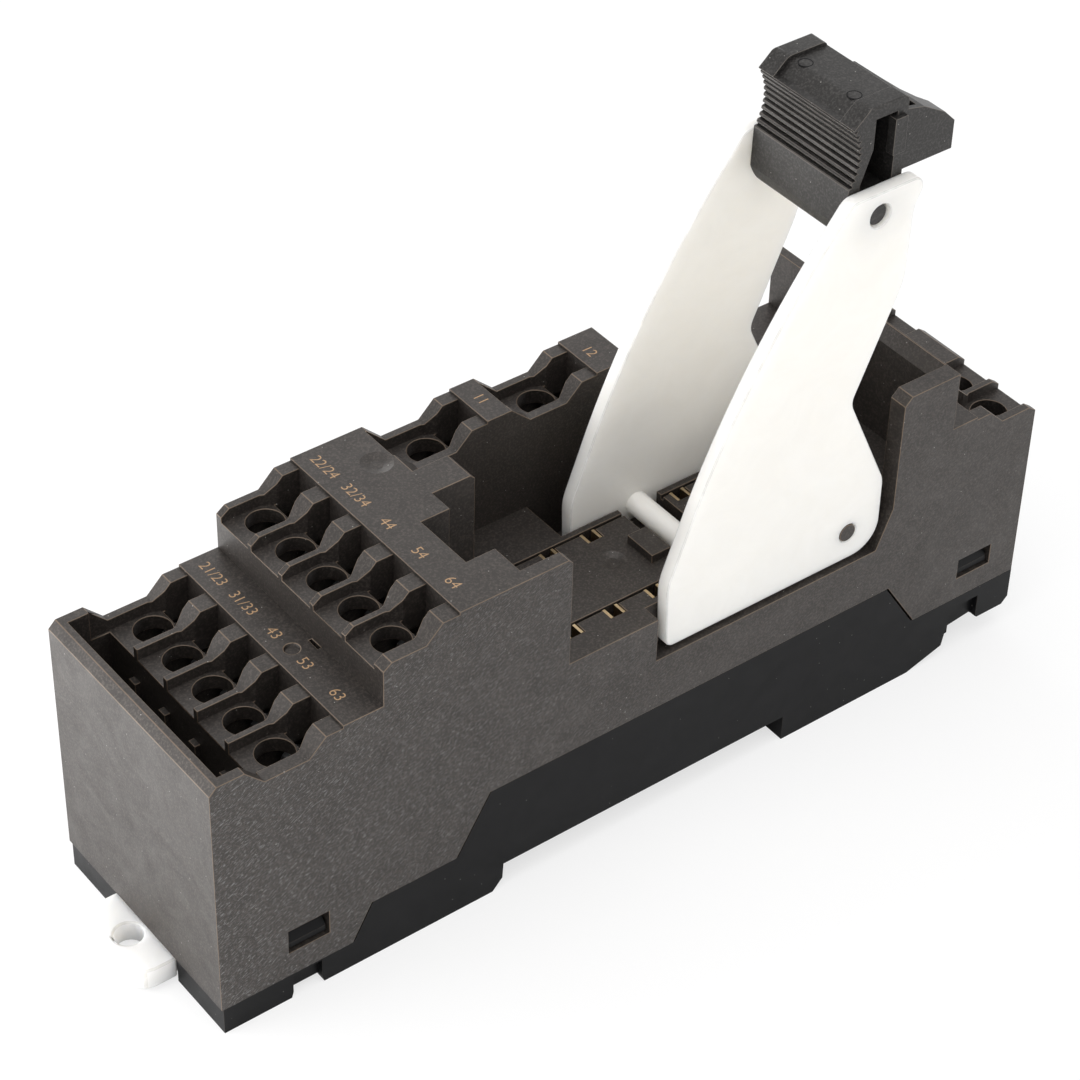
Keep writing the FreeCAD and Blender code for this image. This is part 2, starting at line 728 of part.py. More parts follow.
# Base: one black moulding that closes the housing and grips the rail
def base():
    """The base: feet, rail channel, fixed hook, snap tongues and the latch's runner."""
    gap = "SnapGap"
    blank = side_prism([
        ("FootStart", "SkirtHeight"), ("FootStart", "0"), ("FootEnd", "0"),
        ("FootEnd + 0.2", "WebHeight"), ("BlockStart - 0.2", "WebHeight"), ("BlockStart", "0"),
        ("RailStart - RailRamp", "0"), ("RailStart - 0.1", "RailRamp"), ("RailStart", "RailCeiling"),
        ("RailEnd", "RailCeiling"), ("RailEnd", "0"), ("FarBlockEnd", "0"),
        ("FarRampEnd - 0.3", "FarRampHeight"), ("FarRampEnd", "FarStepHeight"),
        ("FarFootStart - 0.6", "FarStepHeight + 0.5"), ("FarFootStart", "FarFootHeight"),
        ("BodyLength - 0.7", "FarFootHeight"), ("BodyLength + BaseInset", "FarFootHeight + 0.8"),
        ("BodyLength + BaseInset", "FarSkirtHeight"), (f"FarSkirtStart - {gap}", "FarSkirtHeight"),
        (f"ArchEnd - {gap}", "ArchHeight"), (f"ArchStart + {gap}", "ArchHeight"),
        (f"StepEnd + {gap}", "StepHeight"), (f"StepStart + {gap}", "StepHeight"),
        (f"SkirtEnd + {gap}", "SkirtHeight")],
        "BaseInset", "BodyWidth - 2*BaseInset", "base_blank")
    cuts = []
    for side in ("-1", "BodyWidth - WebInset"):
        cuts.append(box("FootEnd + 0.2", side, "-1", "BlockStart - FootEnd - 0.4", "WebInset + 1",
                        "SkirtHeight - 0.3 + 1", "near_web"))
        cuts.append(box("FarRampEnd + 0.3", side, "0", "FarFootStart - FarRampEnd - 0.6", "WebInset + 1",
                        "FarSkirtHeight - 1.5", "far_web"))
    runner = box("-1", "BodyWidth/2 - LatchWidth/2 - RunnerWidth/2 - LatchGap", "LatchBottom - LatchGap",
                 "RailStart + 1.5", "LatchWidth + RunnerWidth + 2*LatchGap",
                 "LatchTop - LatchBottom + 2*LatchGap", "runner")
    mouth = box("-1", "BodyWidth/2 - LatchWidth/2 + RunnerWidth/2", "-1", "RailStart + 1.5",
                "LatchWidth - RunnerWidth", "LatchBottom + 1", "runner_mouth")
    doorway = box("-1", "BodyWidth/2 - TabWidth/2 - LatchGap", "-1", "FootStart + LatchTravel + 1",
                  "TabWidth + 2*LatchGap", "LatchTop + LatchGap + 1", "tab_doorway")
    hollow = side_prism([
        ("StepStart + BaseWall", "BaseFloor"), ("StepStart + BaseWall", "StepHeight + 1"),
        ("StepEnd + BaseWall", "StepHeight + 1"), ("ArchStart + BaseWall", "ArchHeight + 1"),
        ("ArchEnd - BaseWall", "ArchHeight + 1"), ("FarSkirtStart - BaseWall", "FarSkirtHeight + 1"),
        ("FarWindow - BaseWall", "FarSkirtHeight + 1"), ("FarWindow - BaseWall", "BaseFloor")],
        "BaseInset + BaseWall", "BodyWidth - 2*BaseInset - 2*BaseWall", "base_hollow")
    form = cut(blank, [*cuts, runner, mouth, doorway, hollow], "base_cut")
    hook = side_prism([
        ("RailEnd + 0.5", "0"), ("RailEnd", "0"), ("RailEnd - HookReach", "RailCeiling - LipGap - 0.9"),
        ("RailEnd - HookReach", "RailCeiling - LipGap"), ("RailEnd + 0.5", "RailCeiling - LipGap")],
        "BodyWidth/2 - HookWidth/2", "HookWidth", "fixed_hook")
    post = box("WindowStart + LatchGap", "BodyWidth/2 - SpringDiameter/2", "LatchBottom + 0.1", "PostLength",
               "SpringDiameter", "LatchTop - LatchBottom + 0.5", "spring_post")
    added = [form, hook, post]
    for window, sill, head, floor in (
            ("NearWindow", "NearWindowSill", "NearWindowHead", "SkirtHeight"),
            ("FarWindow", "FarWindowSill", "FarWindowHead", "FarSkirtHeight")):
        for side in (1, -1):
            inner = "WallThickness + 0.15"
            if side < 0:
                inner = f"BodyWidth - TongueThickness - ({inner})"
            added.append(box(f"{window} + SnapGap", inner, f"{floor} - 0.5", "WindowLength - 2*SnapGap",
                             "TongueThickness", f"{head} - SnapGap - {floor} + 0.5", "tongue"))
            added.append(snap_wedge(window, sill, head, side))
    finish(join(added, "base_solid"), "base")


def snap_wedge(window, sill, head, side):
    """The sloped nose of a snap tongue, which looks out of the housing's window."""
    root = "WallThickness + 0.25"
    tip = "BaseInset + 0.25"
    if side < 0:
        root = f"BodyWidth - ({root})"
        tip = f"BodyWidth - ({tip})"
    sketch = outline([(root, f"{sill} + SnapGap"), (root, f"{head} - SnapGap"),
                      (tip, f"{sill} + SnapGap + 0.7"), (tip, f"{sill} + SnapGap")], "snap_outline")
    sketch.Placement.Rotation = FreeCAD.Rotation(V(1, 1, 1), 120)
    place(sketch, f"{window} + SnapGap", "0", "0")
    item = doc.addObject("Part::Extrusion", "snap_nose")
    item.Base = sketch
    item.DirMode = "Custom"
    item.Dir = ALONG_X
    item.Solid = True
    bind(item, "LengthFwd", "WindowLength - 2*SnapGap")
    return item


def rail_latch():
    """The white latch: tab with a hole, plate with the spring's window, nose under the rail."""
    middle = "BodyWidth/2"
    half, reach, bend = "TabWidth/2", "0 - TabReach", "TabCorner"
    tab = plan_prism([
        ("FootStart + 0.1", f"{middle} - {half}"), ("FootStart + 0.1", f"{middle} + {half}"),
        (f"{reach} + {bend}", f"{middle} + {half}"),
        (f"{reach} + 0.5*{bend}", f"{middle} + {half} - 0.134*{bend}"),
        (f"{reach} + 0.134*{bend}", f"{middle} + {half} - 0.5*{bend}"),
        (reach, f"{middle} + {half} - {bend}"), (reach, f"{middle} - {half} + {bend}"),
        (f"{reach} + 0.134*{bend}", f"{middle} - {half} + 0.5*{bend}"),
        (f"{reach} + 0.5*{bend}", f"{middle} - {half} + 0.134*{bend}"),
        (f"{reach} + {bend}", f"{middle} - {half}")],
        "0", "0", "TabBottom", "LatchTop - TabBottom", "latch_tab")
    plate = box("FootStart", f"{middle} - LatchWidth/2 - RunnerWidth/2", "LatchBottom",
                "RailStart - 1.2 - FootStart", "LatchWidth + RunnerWidth", "LatchTop - LatchBottom",
                "latch_plate")
    nose = side_prism([
        ("RailStart - 2.5", "LatchBottom"), ("RailStart + NoseReach - 1.1", "LatchBottom"),
        ("RailStart + NoseReach", "RailCeiling - LipGap - 0.35"),
        ("RailStart + NoseReach", "RailCeiling - LipGap"), ("RailStart - 2.5", "RailCeiling - LipGap")],
        f"{middle} - LatchWidth/2", "LatchWidth", "latch_nose")
    hole = pin("TabHolePlace*(0 - 1)", middle, "0", "TabHole/2", "5", name="tab_hole")
    window = box("WindowStart", f"{middle} - SpringDiameter/2 - LatchGap", "0",
                 "LatchGap + PostLength + SpringLength + LatchGap", "SpringDiameter + 2*LatchGap", "5",
                 "spring_window")
    body = join([tab, plate, nose], "latch_body")
    finish(cut(body, [hole, window], "latch_solid"), "rail_latch")


def latch_spring():
    """The coil spring that holds the latch under the rail, as one wound wire."""
    radius = (size("SpringDiameter") - size("SpringWire")) / 2 - size("SpringSeat")
    wire = size("SpringWire") / 2
    length = size("SpringLength") - 2 * wire - 2 * size("SpringSeat")
    pitch = length / size("SpringTurns")
    helix = Part.makeHelix(pitch, length, radius)
    rise = math.atan2(pitch, 2 * math.pi * radius)
    sides = int(size("WireSides"))
    corners = []
    for k in range(sides + 1):
        turn = 2 * math.pi * k / sides
        out, up = wire * math.cos(turn), wire * math.sin(turn)
        corners.append(V(radius + out, -up * math.sin(rise), up * math.cos(rise)))
    section = Part.makePolygon(corners)
    coil = Part.Wire(helix).makePipeShell([section], True, True)
    item = doc.addObject("Part::Feature", "latch_spring_solid")
    item.Shape = coil
    item.Label = "latch_spring"
    item.Placement.Rotation = FreeCAD.Rotation(ALONG_Z, ALONG_X)
    start = size("WindowStart") + size("LatchGap") + size("PostLength") + size("SpringSeat") + wire
    middle_height = (size("LatchTop") + size("LatchBottom")) / 2
    item.Placement.Base = V(start, size("BodyWidth") / 2, middle_height) + frame_shift()
    sub_parts.append(item)


def lever():
    """The white lever: two plates joined by a rod, with pivot holes and the handle's holes."""
    bottom, top = size("PlateBottom"), size("PlateTop")
    first, last = size("PlateStart"), size("PlateEnd")
    waist_x, waist_z = size("WaistPlace"), size("WaistHeight")
    face = rounded_face([
        (first, bottom, size("LeverCorner")),
        (last, bottom, size("HeelRadius")),
        (last - size("BackLean"), bottom + size("BackRise"), size("BackRadius")),
        (waist_x, waist_z, size("WaistRadius")),
        (last - size("NeckLean"), waist_z + size("NeckRise"), size("NeckRadius")),
        (last - size("BackLean"), top - size("EarDrop"), size("EarRadius")),
        (last + size("EarReach"), top, size("TopRadius")),
        (first + size("BrowRun"), top, size("BrowRadius")),
        (first + size("FrontRun"), top - size("FrontDrop"), size("FrontRadius")),
        (first - size("KneeLean"), bottom + size("KneeRise"), size("KneeRadius")),
    ])
    thickness = size("PlateThickness")
    front = size("PlateFace")
    back = size("BayMiddle") + size("PlateGap") / 2
    solid = None
    for y in (front, back):
        plate = face.extrude(ALONG_Y * thickness)
        plate.translate(ALONG_Y * y)
        solid = plate if solid is None else solid.fuse(plate)
    rod = Part.makeCylinder(size("RodDiameter") / 2, back - front, V(size("RodPlace"), front + thickness / 2,
                                                                  size("RodHeight")), ALONG_Y)
    solid = solid.fuse(rod)
    relief = size("PinRelief")
    reach = back - front + 2 * thickness
    bore = size("PivotDiameter") / 2 + size("PivotClearance")
    pin_bore = size("PinDiameter") / 2 + relief
    for x, z, radius in ((size("PivotPlace"), size("PivotHeight"), bore),
                         (size("PinPlace") + relief / 2, size("PinHeight"), pin_bore)):
        solid = solid.cut(Part.makeCylinder(radius, reach, V(x, front - thickness / 2, z), ALONG_Y))
    item = doc.addObject("Part::Feature", "lever_solid")
    item.Shape = solid.removeSplitter()
    finish(item, "lever")


def release_handle():
    """The grey handle between the plates: ribbed grip face with a void behind it, panel and wing."""
    width = size("PlateGap") - 2 * size("HandleGap")
    front = size("BayMiddle") - width / 2
    grip, end = size("GripFace"), size("HandleEnd")
    top, bottom = size("HandleTop"), size("HandleBottom")
    grip_top, grip_foot = size("GripTop"), size("GripFoot")
    profile = rounded_face([
        (grip + size("FootLead"), bottom, size("FootCorner")),
        (end, bottom, size("FootCorner")),
        (end, top, size("RoofEndCorner")),
        (grip + size("RoofLead"), top, size("RoofCorner")),
        (grip, grip_top, 0),
        (grip, grip_foot, 0),
        (grip - size("BackLean"), bottom + size("FootRise"), size("FootCorner") / 2),
    ])
    solid = profile.extrude(ALONG_Y * width).cut(grip_ribs(width))
    solid = solid.cut(handle_panel(profile, width)).fuse(handle_wing())
    ends = rounded_face([(0, bottom, size("HandleCorner")), (width, bottom, size("HandleCorner")),
                         (width, top, size("HandleEdge")), (0, top, size("HandleEdge"))])
    ends.rotate(V(0, 0, 0), ALONG_Z, 90)
    solid = solid.common(ends.extrude(ALONG_X * (size("WingEnd") + 1)))
    foot, floor = size("VoidFoot"), size("VoidFloor")
    hollow = rounded_face([
        (size("VoidStart"), size("VoidTop"), 0), (size("VoidEnd"), size("VoidTop"), 0),
        (size("VoidEnd"), floor, 0), (foot, floor, 0), (foot, grip_foot, 0),
        (size("VoidStart"), size("VoidBend"), 0),
    ]).extrude(ALONG_Y * (width - size("VoidWall")))
    pad = Part.makeBox(size("PadLength"), 2 * size("PadProud"), size("PadHeight"),
                       V(size("PadStart"), -size("PadProud"), size("PadBottom")))
    solid = solid.cut(hollow).fuse(pad)
    solid.translate(ALONG_Y * front)
    overhang = size("PlateThickness") + size("HandleGap") - size("PinInset")
    pins = Part.makeCylinder(size("PinDiameter") / 2, width + 2 * overhang,
                             V(size("PinPlace"), front - overhang, size("PinHeight")), ALONG_Y)
    item = doc.addObject("Part::Feature", "handle_solid")
    item.Shape = solid.fuse(pins).removeSplitter()
    finish(item, "release_handle")


def handle_panel(profile, width):
    """What the sunk panel takes away, between two rims and over the rounded front edge."""
    depth, margin = size("PanelDepth"), size("PanelMargin")
    across = ALONG_Y * (width - 2 * margin)
    lowered = profile.extrude(across)
    lowered.translate(V(depth, 0, -depth))
    above = Part.makeBox(size("HandleEnd"), width, size("HandleTop") - size("GripTop"),
                         V(0, 0, size("GripTop")))
    panel = profile.extrude(across).cut(lowered).common(above)
    panel.translate(ALONG_Y * margin)
    return panel


def handle_wing():
    """The arm behind the roof: wide at its root, then a plate, with a pocket beside the roof."""
    end, tip, bottom = size("HandleEnd"), size("WingEnd"), size("WingBottom")
    root, sweep, plate = size("WingRoot"), size("WingSweep"), size("WingPlate")
    width = size("WingWidth")
    side = rounded_face([
        (end - root / 2, bottom, 0), (tip, bottom, 0), (tip, size("WingTip"), 0),
        (tip - size("WingHipRun"), size("WingHip"), 0), (end + root, size("WingShoulder"), 0),
        (end - root / 2, size("WingTop"), 0),
    ]).extrude(ALONG_Y * width)
    plan = Part.Face(Part.makePolygon([
        V(end - root, width, 0), V(end + root, width, 0), V(end + root + sweep / 8, 3 * plate, 0),
        V(end + root + sweep / 3, 2 * plate, 0), V(end + root + sweep, 1.4 * plate, 0), V(tip, plate, 0),
        V(tip, 0, 0), V(end - root, 0, 0), V(end - root, width, 0),
    ])).extrude(ALONG_Z * size("HandleTop"))
    start, floor = size("WingPocketStart"), size("WingPocketFloor")
    pocket = Part.makeBox(size("WingPocketLength"), size("WingPocketEnd") - start,
                          size("WingTop") - floor + 1, V(end, start, floor))
    return side.common(plan).cut(pocket)


def grip_ribs(width):
    """The hollow of the grip face with the grooves between its ribs."""
    grip, grip_top, grip_foot = size("GripFace"), size("GripTop"), size("GripFoot")
    chord = grip_top - grip_foot
    hollow = size("GripHollow")
    radius = (chord * chord / 4 + hollow * hollow) / (2 * hollow)
    centre = V(grip + hollow - radius, 0, (grip_top + grip_foot) / 2)
    tools = Part.makeCylinder(radius, width, centre, ALONG_Y)
    ribs = int(size("RibCount"))
    step = 2 * math.asin(chord / 2 / radius) / ribs
    opening = step * size("RibShare") / 2
    for k in range(ribs):
        angle = step * (k + 0.5 - ribs / 2)
        corners = [centre + V(math.cos(turn), 0, math.sin(turn)) * reach for turn, reach in (
            (angle - opening, radius), (angle, radius + size("RibDepth")), (angle + opening, radius),
            (angle, radius - size("RibDepth")), (angle - opening, radius))]
        tools = tools.fuse(Part.Face(Part.makePolygon(corners)).extrude(ALONG_Y * width))
    return tools


def clip(clip_x, row, lane, level, name):
    """A contact's clip: two leaves on a foot, and the stem down to its bar."""
    parts = [box(f"{clip_x} - SlotLength/2", f"{row} - ClipFootWidth/2", "ClipFoot", "SlotLength",
                 "ClipFootWidth", "SheetThickness", f"{name}_foot")]
    for side in (-1, 1):
        parts.append(box(f"{clip_x} + {side}*ClipSpacing/2 - LeafThickness/2", f"{row} - LeafWidth/2",
                         "ClipFoot", "LeafThickness", "LeafWidth", "SeatHeight - LeafDrop - ClipFoot",
                         f"{name}_leaf"))
    parts.append(box(f"{clip_x} - BarWidth/2", f"{row} + ({lane})*LaneOffset - BarWidth/2", level, "BarWidth",
                     "BarWidth", f"ClipFoot + SheetThickness - ({level})", f"{name}_stem"))
    return parts


def bar(x_from, x_to, y, level, name):
    """A flat bar along the socket."""
    return box(x_from, f"{y} - BarWidth/2", level, f"({x_to}) - ({x_from}) + BarWidth/2", "BarWidth",
               "SheetThickness", name)


def jog(x, y_from, y_to, level, name):
    """A flat bar across the socket."""
    return box(f"{x} - BarWidth/2", f"{y_from} - BarWidth/2", level, "BarWidth",
               f"({y_to}) - ({y_from}) + BarWidth", "SheetThickness", name)


def blade(x, middle, level, floor, name):
    """The upright blade in a clamp chamber that the wire is pressed against."""
    return box(x, f"{middle} - BladeWidth/2", level, "SheetThickness", "BladeWidth",
               f"{floor} - FloorThickness - 1.4 - ({level})", name)


def contacts():
    """The twelve switch contacts and the two coil contacts, each one stamped and bent sheet."""
    lanes = ((-2, 0, 2, -1, 1), (-1, 1, -2, 0, 2))
    rows = ((0, 0, 0, 1, 1), (0, 0, 1, 1, 1))
    clips = ((0, 1, 2, 0, 1), (3, 4, 2, 3, 4))
    numbers = (("63", "53", "43", "31_33", "21_23"), ("64", "54", "44", "32_34", "22_24"))
    row_names = (ROW_FRONT, ROW_BACK)
    for tier, (start, floor) in enumerate(TIERS):
        level = ("LowBar", "HighBar")[tier]
        for k in range(TERMINAL_COUNT):
            name = f"contact_{numbers[tier][k]}"
            middle = f"FirstTerminal + {k}*TerminalPitch"
            row = row_names[rows[tier][k]]
            lane = lanes[tier][k]
            lane_y = f"{row} + ({lane})*LaneOffset"
            turn = f"{start} + PlateRun + 0.8 + {k}*JogPitch"
            clip_x = CLIPS[clips[tier][k]]
            parts = clip(clip_x, row, lane, level, name)
            parts.append(blade(f"{start} + BladeRun", middle, level, floor, f"{name}_blade"))
            parts.append(bar(f"{start} + BladeRun", turn, middle, level, f"{name}_tail"))
            parts.append(jog(turn, lane_y, middle, level, f"{name}_jog"))
            parts.append(bar(turn, clip_x, lane_y, level, f"{name}_bar"))
            finish(join(parts, f"{name}_solid"), name)
    for k, (number, row, level, turn, bar_y) in enumerate((
            ("11", ROW_FRONT, "LowBar", "FarClip + 2.3", "StripTerminal - BladeWidth/2 + BarWidth/2"),
            ("12", ROW_BACK, "HighBar", "FarClip + 3.8", "StripTerminal"))):
        name = f"contact_{number}"
        start = f"StripOne + {k}*StripPitch"
        clip_x = CLIPS[5]
        parts = clip(clip_x, row, 0, level, name)
        parts.append(blade(f"{start} + BladeRun", "StripTerminal", level, UPPER_FLOOR, f"{name}_blade"))
        parts.append(bar(f"{start} + BladeRun", turn, bar_y, level, f"{name}_tail"))
        parts.append(jog(turn, row, bar_y, level, f"{name}_jog"))
        parts.append(bar(turn, clip_x, row, level, f"{name}_bar"))
        finish(join(parts, f"{name}_solid"), name)
    for number, row, middles in (("a1", ROW_FRONT, COIL_TERMINALS[:2]), ("a2", ROW_BACK, COIL_TERMINALS[2:])):
        name = f"contact_{number}"
        clip_x = CLIPS[6]
        far = "BodyLength - BladeRun - SheetThickness"
        parts = clip(clip_x, row, 0, "LowBar", name)
        for middle in middles:
            parts.append(blade(far, middle, "LowBar", "LowFloor", f"{name}_blade"))
        turn = f"{far} - 1.0"
        parts.append(jog(turn, row if number == "a2" else middles[0], middles[1], "LowBar", f"{name}_jog"))
        parts.append(bar(clip_x, f"{turn}", row, "LowBar", f"{name}_bar"))
        for middle in middles:
            parts.append(bar(turn, f"{far} + SheetThickness - BarWidth/2", middle, "LowBar", f"{name}_end"))
        finish(join(parts, f"{name}_solid"), name)


def clamp_spring_shape(direction):
    """One bent strip: back leg, loop folded in flats and the leg that presses the wire on the blade."""
    radius = size("ClampRadius")
    thickness = size("StripThickness")
    height = size("ClampHeight")
    back = size("ChamberEnd") - size("ClampGap") - thickness / 2
    top = -size("ClampDrop") - thickness / 2 - radius
    toe = size("BladeRun") + size("SheetThickness") + size("ClampGap")
    folds = int(size("ClampFolds"))
    path = [V(back, 0, -height)]
    for k in range(folds + 1):
        turn = math.pi * k / folds
        path.append(V(back - radius + radius * math.cos(turn), 0, top + radius * math.sin(turn)))
    path.append(V(toe, 0, -height))
    line = Part.makePolygon(path)
    width = size("ClampWidth")
    halves = []
    for side in (thickness / 2, -thickness / 2):
        face = line.makeOffset2D(side, join=2, fill=True, openResult=True)
        face.translate(ALONG_Y * (-width / 2))
        halves.append(face.extrude(ALONG_Y * width))
    strip = halves[0].fuse(halves[1]).removeSplitter()
    if direction < 0:
        strip = strip.mirror(V(0, 0, 0), ALONG_X)
    return strip


def clamp_springs():
    """One steel clamp spring in each terminal's chamber."""
    shapes = {direction: clamp_spring_shape(direction) for direction in (1, -1)}
    starts = {"TierOne": size("TierOne"), "TierTwo": size("TierTwo"), "BodyLength": size("BodyLength")}
    pitch = size("TerminalPitch")
    first = size("FirstTerminal")
    low = size("LowFloor") - size("FloorThickness")
    high = low + size("TierRise")
    coil = (size("FirstCoil"), size("FirstCoil") + size("CoilPitch"),
            size("SecondCoil"), size("SecondCoil") + size("CoilPitch"))
    spots = []
    for index, (start, floor, middle, direction, number) in enumerate(TERMINALS):
        if index < 2 * TERMINAL_COUNT:
            x = starts[start]
            y = first + (TERMINAL_COUNT - 1 - index % TERMINAL_COUNT) * pitch
            z = low if index < TERMINAL_COUNT else high
        elif direction > 0:
            x = size("StripOne") + (index - 2 * TERMINAL_COUNT) * size("StripPitch")
            y = size("StripTerminal")
            z = high
        else:
            x = starts["BodyLength"]
            y = coil[index - 2 * TERMINAL_COUNT - 2]
            z = low
        spots.append((x, y, z, direction, number))
    shift = frame_shift()
    for x, y, z, direction, number in spots:
        item = doc.addObject("Part::Feature", f"clamp_{number}_solid")
        item.Shape = shapes[direction]
        item.Label = f"clamp_spring_{number}"
        item.Placement.Base = V(x, y, z) + shift
        sub_parts.append(item)


housing()
base()
rail_latch()
latch_spring()
lever()
release_handle()
contacts()
clamp_springs()

doc.recompute()
for item in doc.Objects:
    if "Invalid" in item.State or "Error" in item.State:
        raise RuntimeError(f"{item.Name} did not recompute: {item.State}")
for item in sub_parts:
    if item.Shape.isNull() or not item.Shape.isValid():
        raise RuntimeError(f"{item.Label} has no valid shape")

os.makedirs("parts", exist_ok=True)
for item in sub_parts:
    item.Shape.exportStep(os.path.join("parts", f"{item.Label}.step"))
    solids = len(item.Shape.Solids)
    print(f"{item.Label}: {solids} solid, {item.Shape.Volume:.1f} mm3")
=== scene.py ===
"""Looks of the relay socket: finishes, soft edges, printed numbers, floor, light and camera.

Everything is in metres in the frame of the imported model: X along the socket from the
rail latch end, Y from the side shown to the back, Z up, origin under its middle.
"""
import json
import logging
import math
from dataclasses import dataclass, field
from enum import Enum

import bmesh
import bpy
from mathutils import Matrix, Vector
from mathutils.bvhtree import BVHTree

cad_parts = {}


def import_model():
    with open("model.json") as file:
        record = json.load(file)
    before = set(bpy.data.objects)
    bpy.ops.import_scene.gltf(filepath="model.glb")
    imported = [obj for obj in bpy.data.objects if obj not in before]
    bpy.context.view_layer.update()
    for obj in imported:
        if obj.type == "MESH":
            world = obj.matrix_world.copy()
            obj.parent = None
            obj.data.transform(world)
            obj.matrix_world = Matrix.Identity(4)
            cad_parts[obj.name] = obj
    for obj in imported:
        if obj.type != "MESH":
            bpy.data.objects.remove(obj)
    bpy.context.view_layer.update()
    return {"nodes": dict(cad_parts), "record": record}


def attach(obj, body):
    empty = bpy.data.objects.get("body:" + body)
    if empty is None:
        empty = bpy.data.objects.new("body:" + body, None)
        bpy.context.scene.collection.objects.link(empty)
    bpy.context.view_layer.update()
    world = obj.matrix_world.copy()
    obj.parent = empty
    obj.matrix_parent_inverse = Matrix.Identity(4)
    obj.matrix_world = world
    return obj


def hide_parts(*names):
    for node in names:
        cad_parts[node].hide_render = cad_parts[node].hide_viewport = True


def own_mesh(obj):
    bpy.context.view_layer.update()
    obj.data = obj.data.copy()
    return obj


log = logging.getLogger("relay_socket")

MM = 0.001
SOCKET_BODY = "socket"
LEVER_BODY = "retaining_lever"
LATCH_BODY = "latch"

# Copied shapes: what counts as one corner, as flat, as an edge to round and as a crisp rim
MERGE_DISTANCE = 0.002 * MM
FLAT_ANGLE = math.radians(1.0)
CORNER_ANGLE = math.radians(28.0)
RIM_ANGLE = math.radians(12.0)
SPRING_ANGLE = math.radians(80.0)
FACET_CORNERS = 4
ROUNDING_STEPS = 2

# Textures: a scale counts the cells of a noise per metre
BROAD_SCALE = 420.0
PIT_SCALE = 4200.0
SPECK_SCALE = 800.0
INK_SCALE = 5000.0
# The painted glints on the long sides: their slant, and their share away from the latch end
GLINT_TILT = math.radians(28.0)
GLINT_REST = 0.22
GLOSS_SPREAD = 0.16
GRAIN_HEIGHT = 0.04 * MM
STRIP_LINE_HEIGHT = 0.02 * MM

FLOAT_SOCKET = "NodeSocketFloat"

Color = tuple[float, float, float]
Point = tuple[float, float, float]
WHITE = (1.0, 1.0, 1.0)


class Gloss(Enum):
    """How shiny a moulded face is, as a roughness."""

    MATTE = 0.52
    SATIN = 0.40


class ShaderTree:
    """A small helper that adds and joins the nodes of one material, world or group."""

    def __init__(self, tree: bpy.types.NodeTree) -> None:
        """Keep the node tree of a material, of the world or of a shader node group."""
        self.tree = tree

    def feed(self, target: bpy.types.NodeSocket, value: object) -> None:
        """Link a socket to an input, or set the input to a constant.

        Args:
            target: the input.
            value: an output socket, a number or a tuple of numbers.
        """
        if isinstance(value, bpy.types.NodeSocket):
            self.tree.links.new(value, target)
        else:
            target.default_value = value

    def add(self, kind: str, values: dict[str | int, object] | None = None,
            **settings: object) -> bpy.types.Node:
        """Add a node, with its settings and what goes into its inputs.

        Args:
            kind: the node's type name.
            values: sockets or constants by the input's name or place.
            settings: attributes of the node itself.

        Returns:
            The new node.
        """
        node = self.tree.nodes.new(kind)
        for name, value in settings.items():
            setattr(node, name, value)
        for name, value in (values or {}).items():
            self.feed(node.inputs[name], value)
        return node

    def given(self, name: str) -> bpy.types.NodeSocket:
        """Return the socket inside a group that carries one of its inputs."""
        return self.tree.nodes["in"].outputs[name]

    def give(self, name: str, value: bpy.types.NodeSocket) -> None:
        """Let a socket feed one of the group's outputs."""
        self.feed(self.tree.nodes["out"].inputs[name], value)

    def place(self) -> bpy.types.NodeSocket:
        """Return the position on the piece, in metres."""
        return self.add("ShaderNodeTexCoord").outputs["Object"]

    def noise(self, vector: bpy.types.NodeSocket, scale: object, detail: float,
              roughness: float = 0.5, distortion: float = 0.0) -> bpy.types.NodeSocket:
        """Add a noise texture.

        Args:
            vector: where it is read.
            scale: its scale, a socket or a number.
            detail: its octaves.
            roughness: how strong the fine octaves are.
            distortion: how far it is bent.

        Returns:
            The noise, around 0.5.
        """
        return self.add("ShaderNodeTexNoise", {
            "Vector": vector, "Scale": scale, "Detail": detail, "Roughness": roughness,
            "Distortion": distortion}).outputs["Fac"]

    def ramp(self, value: bpy.types.NodeSocket, start: float, end: float, first: float = 0.0,
             last: float = 1.0) -> bpy.types.NodeSocket:
        """Stretch part of a value's range, and hold it at both ends.

        Args:
            value: the value.
            start: where the range begins.
            end: where the range ends.
            first: the result at the beginning.
            last: the result at the end.

        Returns:
            The result's socket.
        """
        return self.add("ShaderNodeMapRange", {
            "Value": value, "From Min": start, "From Max": end, "To Min": first,
            "To Max": last}).outputs["Result"]

    def math(self, operation: str, first: object, second: object = 0.5) -> bpy.types.NodeSocket:
        """Return the sum that a math node makes of two inputs, each a socket or a number."""
        return self.add("ShaderNodeMath", {0: first, 1: second}, operation=operation).outputs[0]

    def blend_color(self, factor: bpy.types.NodeSocket, low: bpy.types.NodeSocket | Color,
                    high: Color) -> bpy.types.NodeSocket:
        """Mix two colours by a factor.

        Args:
            factor: the mixing factor.
            low: the colour at 0, a socket or a colour.
            high: the colour at 1.

        Returns:
            The mixed colour's socket.
        """
        low = low if isinstance(low, bpy.types.NodeSocket) else (*low, 1.0)
        return self.add("ShaderNodeMix", {0: factor, 6: low, 7: (*high, 1.0)},
                        data_type="RGBA").outputs[2]


def new_material(name: str) -> tuple[bpy.types.Material, ShaderTree]:
    """Make a material without any nodes.

    Args:
        name: the material's name.

    Returns:
        The material, and its tree to build in.
    """
    material = bpy.data.materials.new(name)
    material.use_nodes = True
    material.node_tree.nodes.clear()
    return material, ShaderTree(material.node_tree)


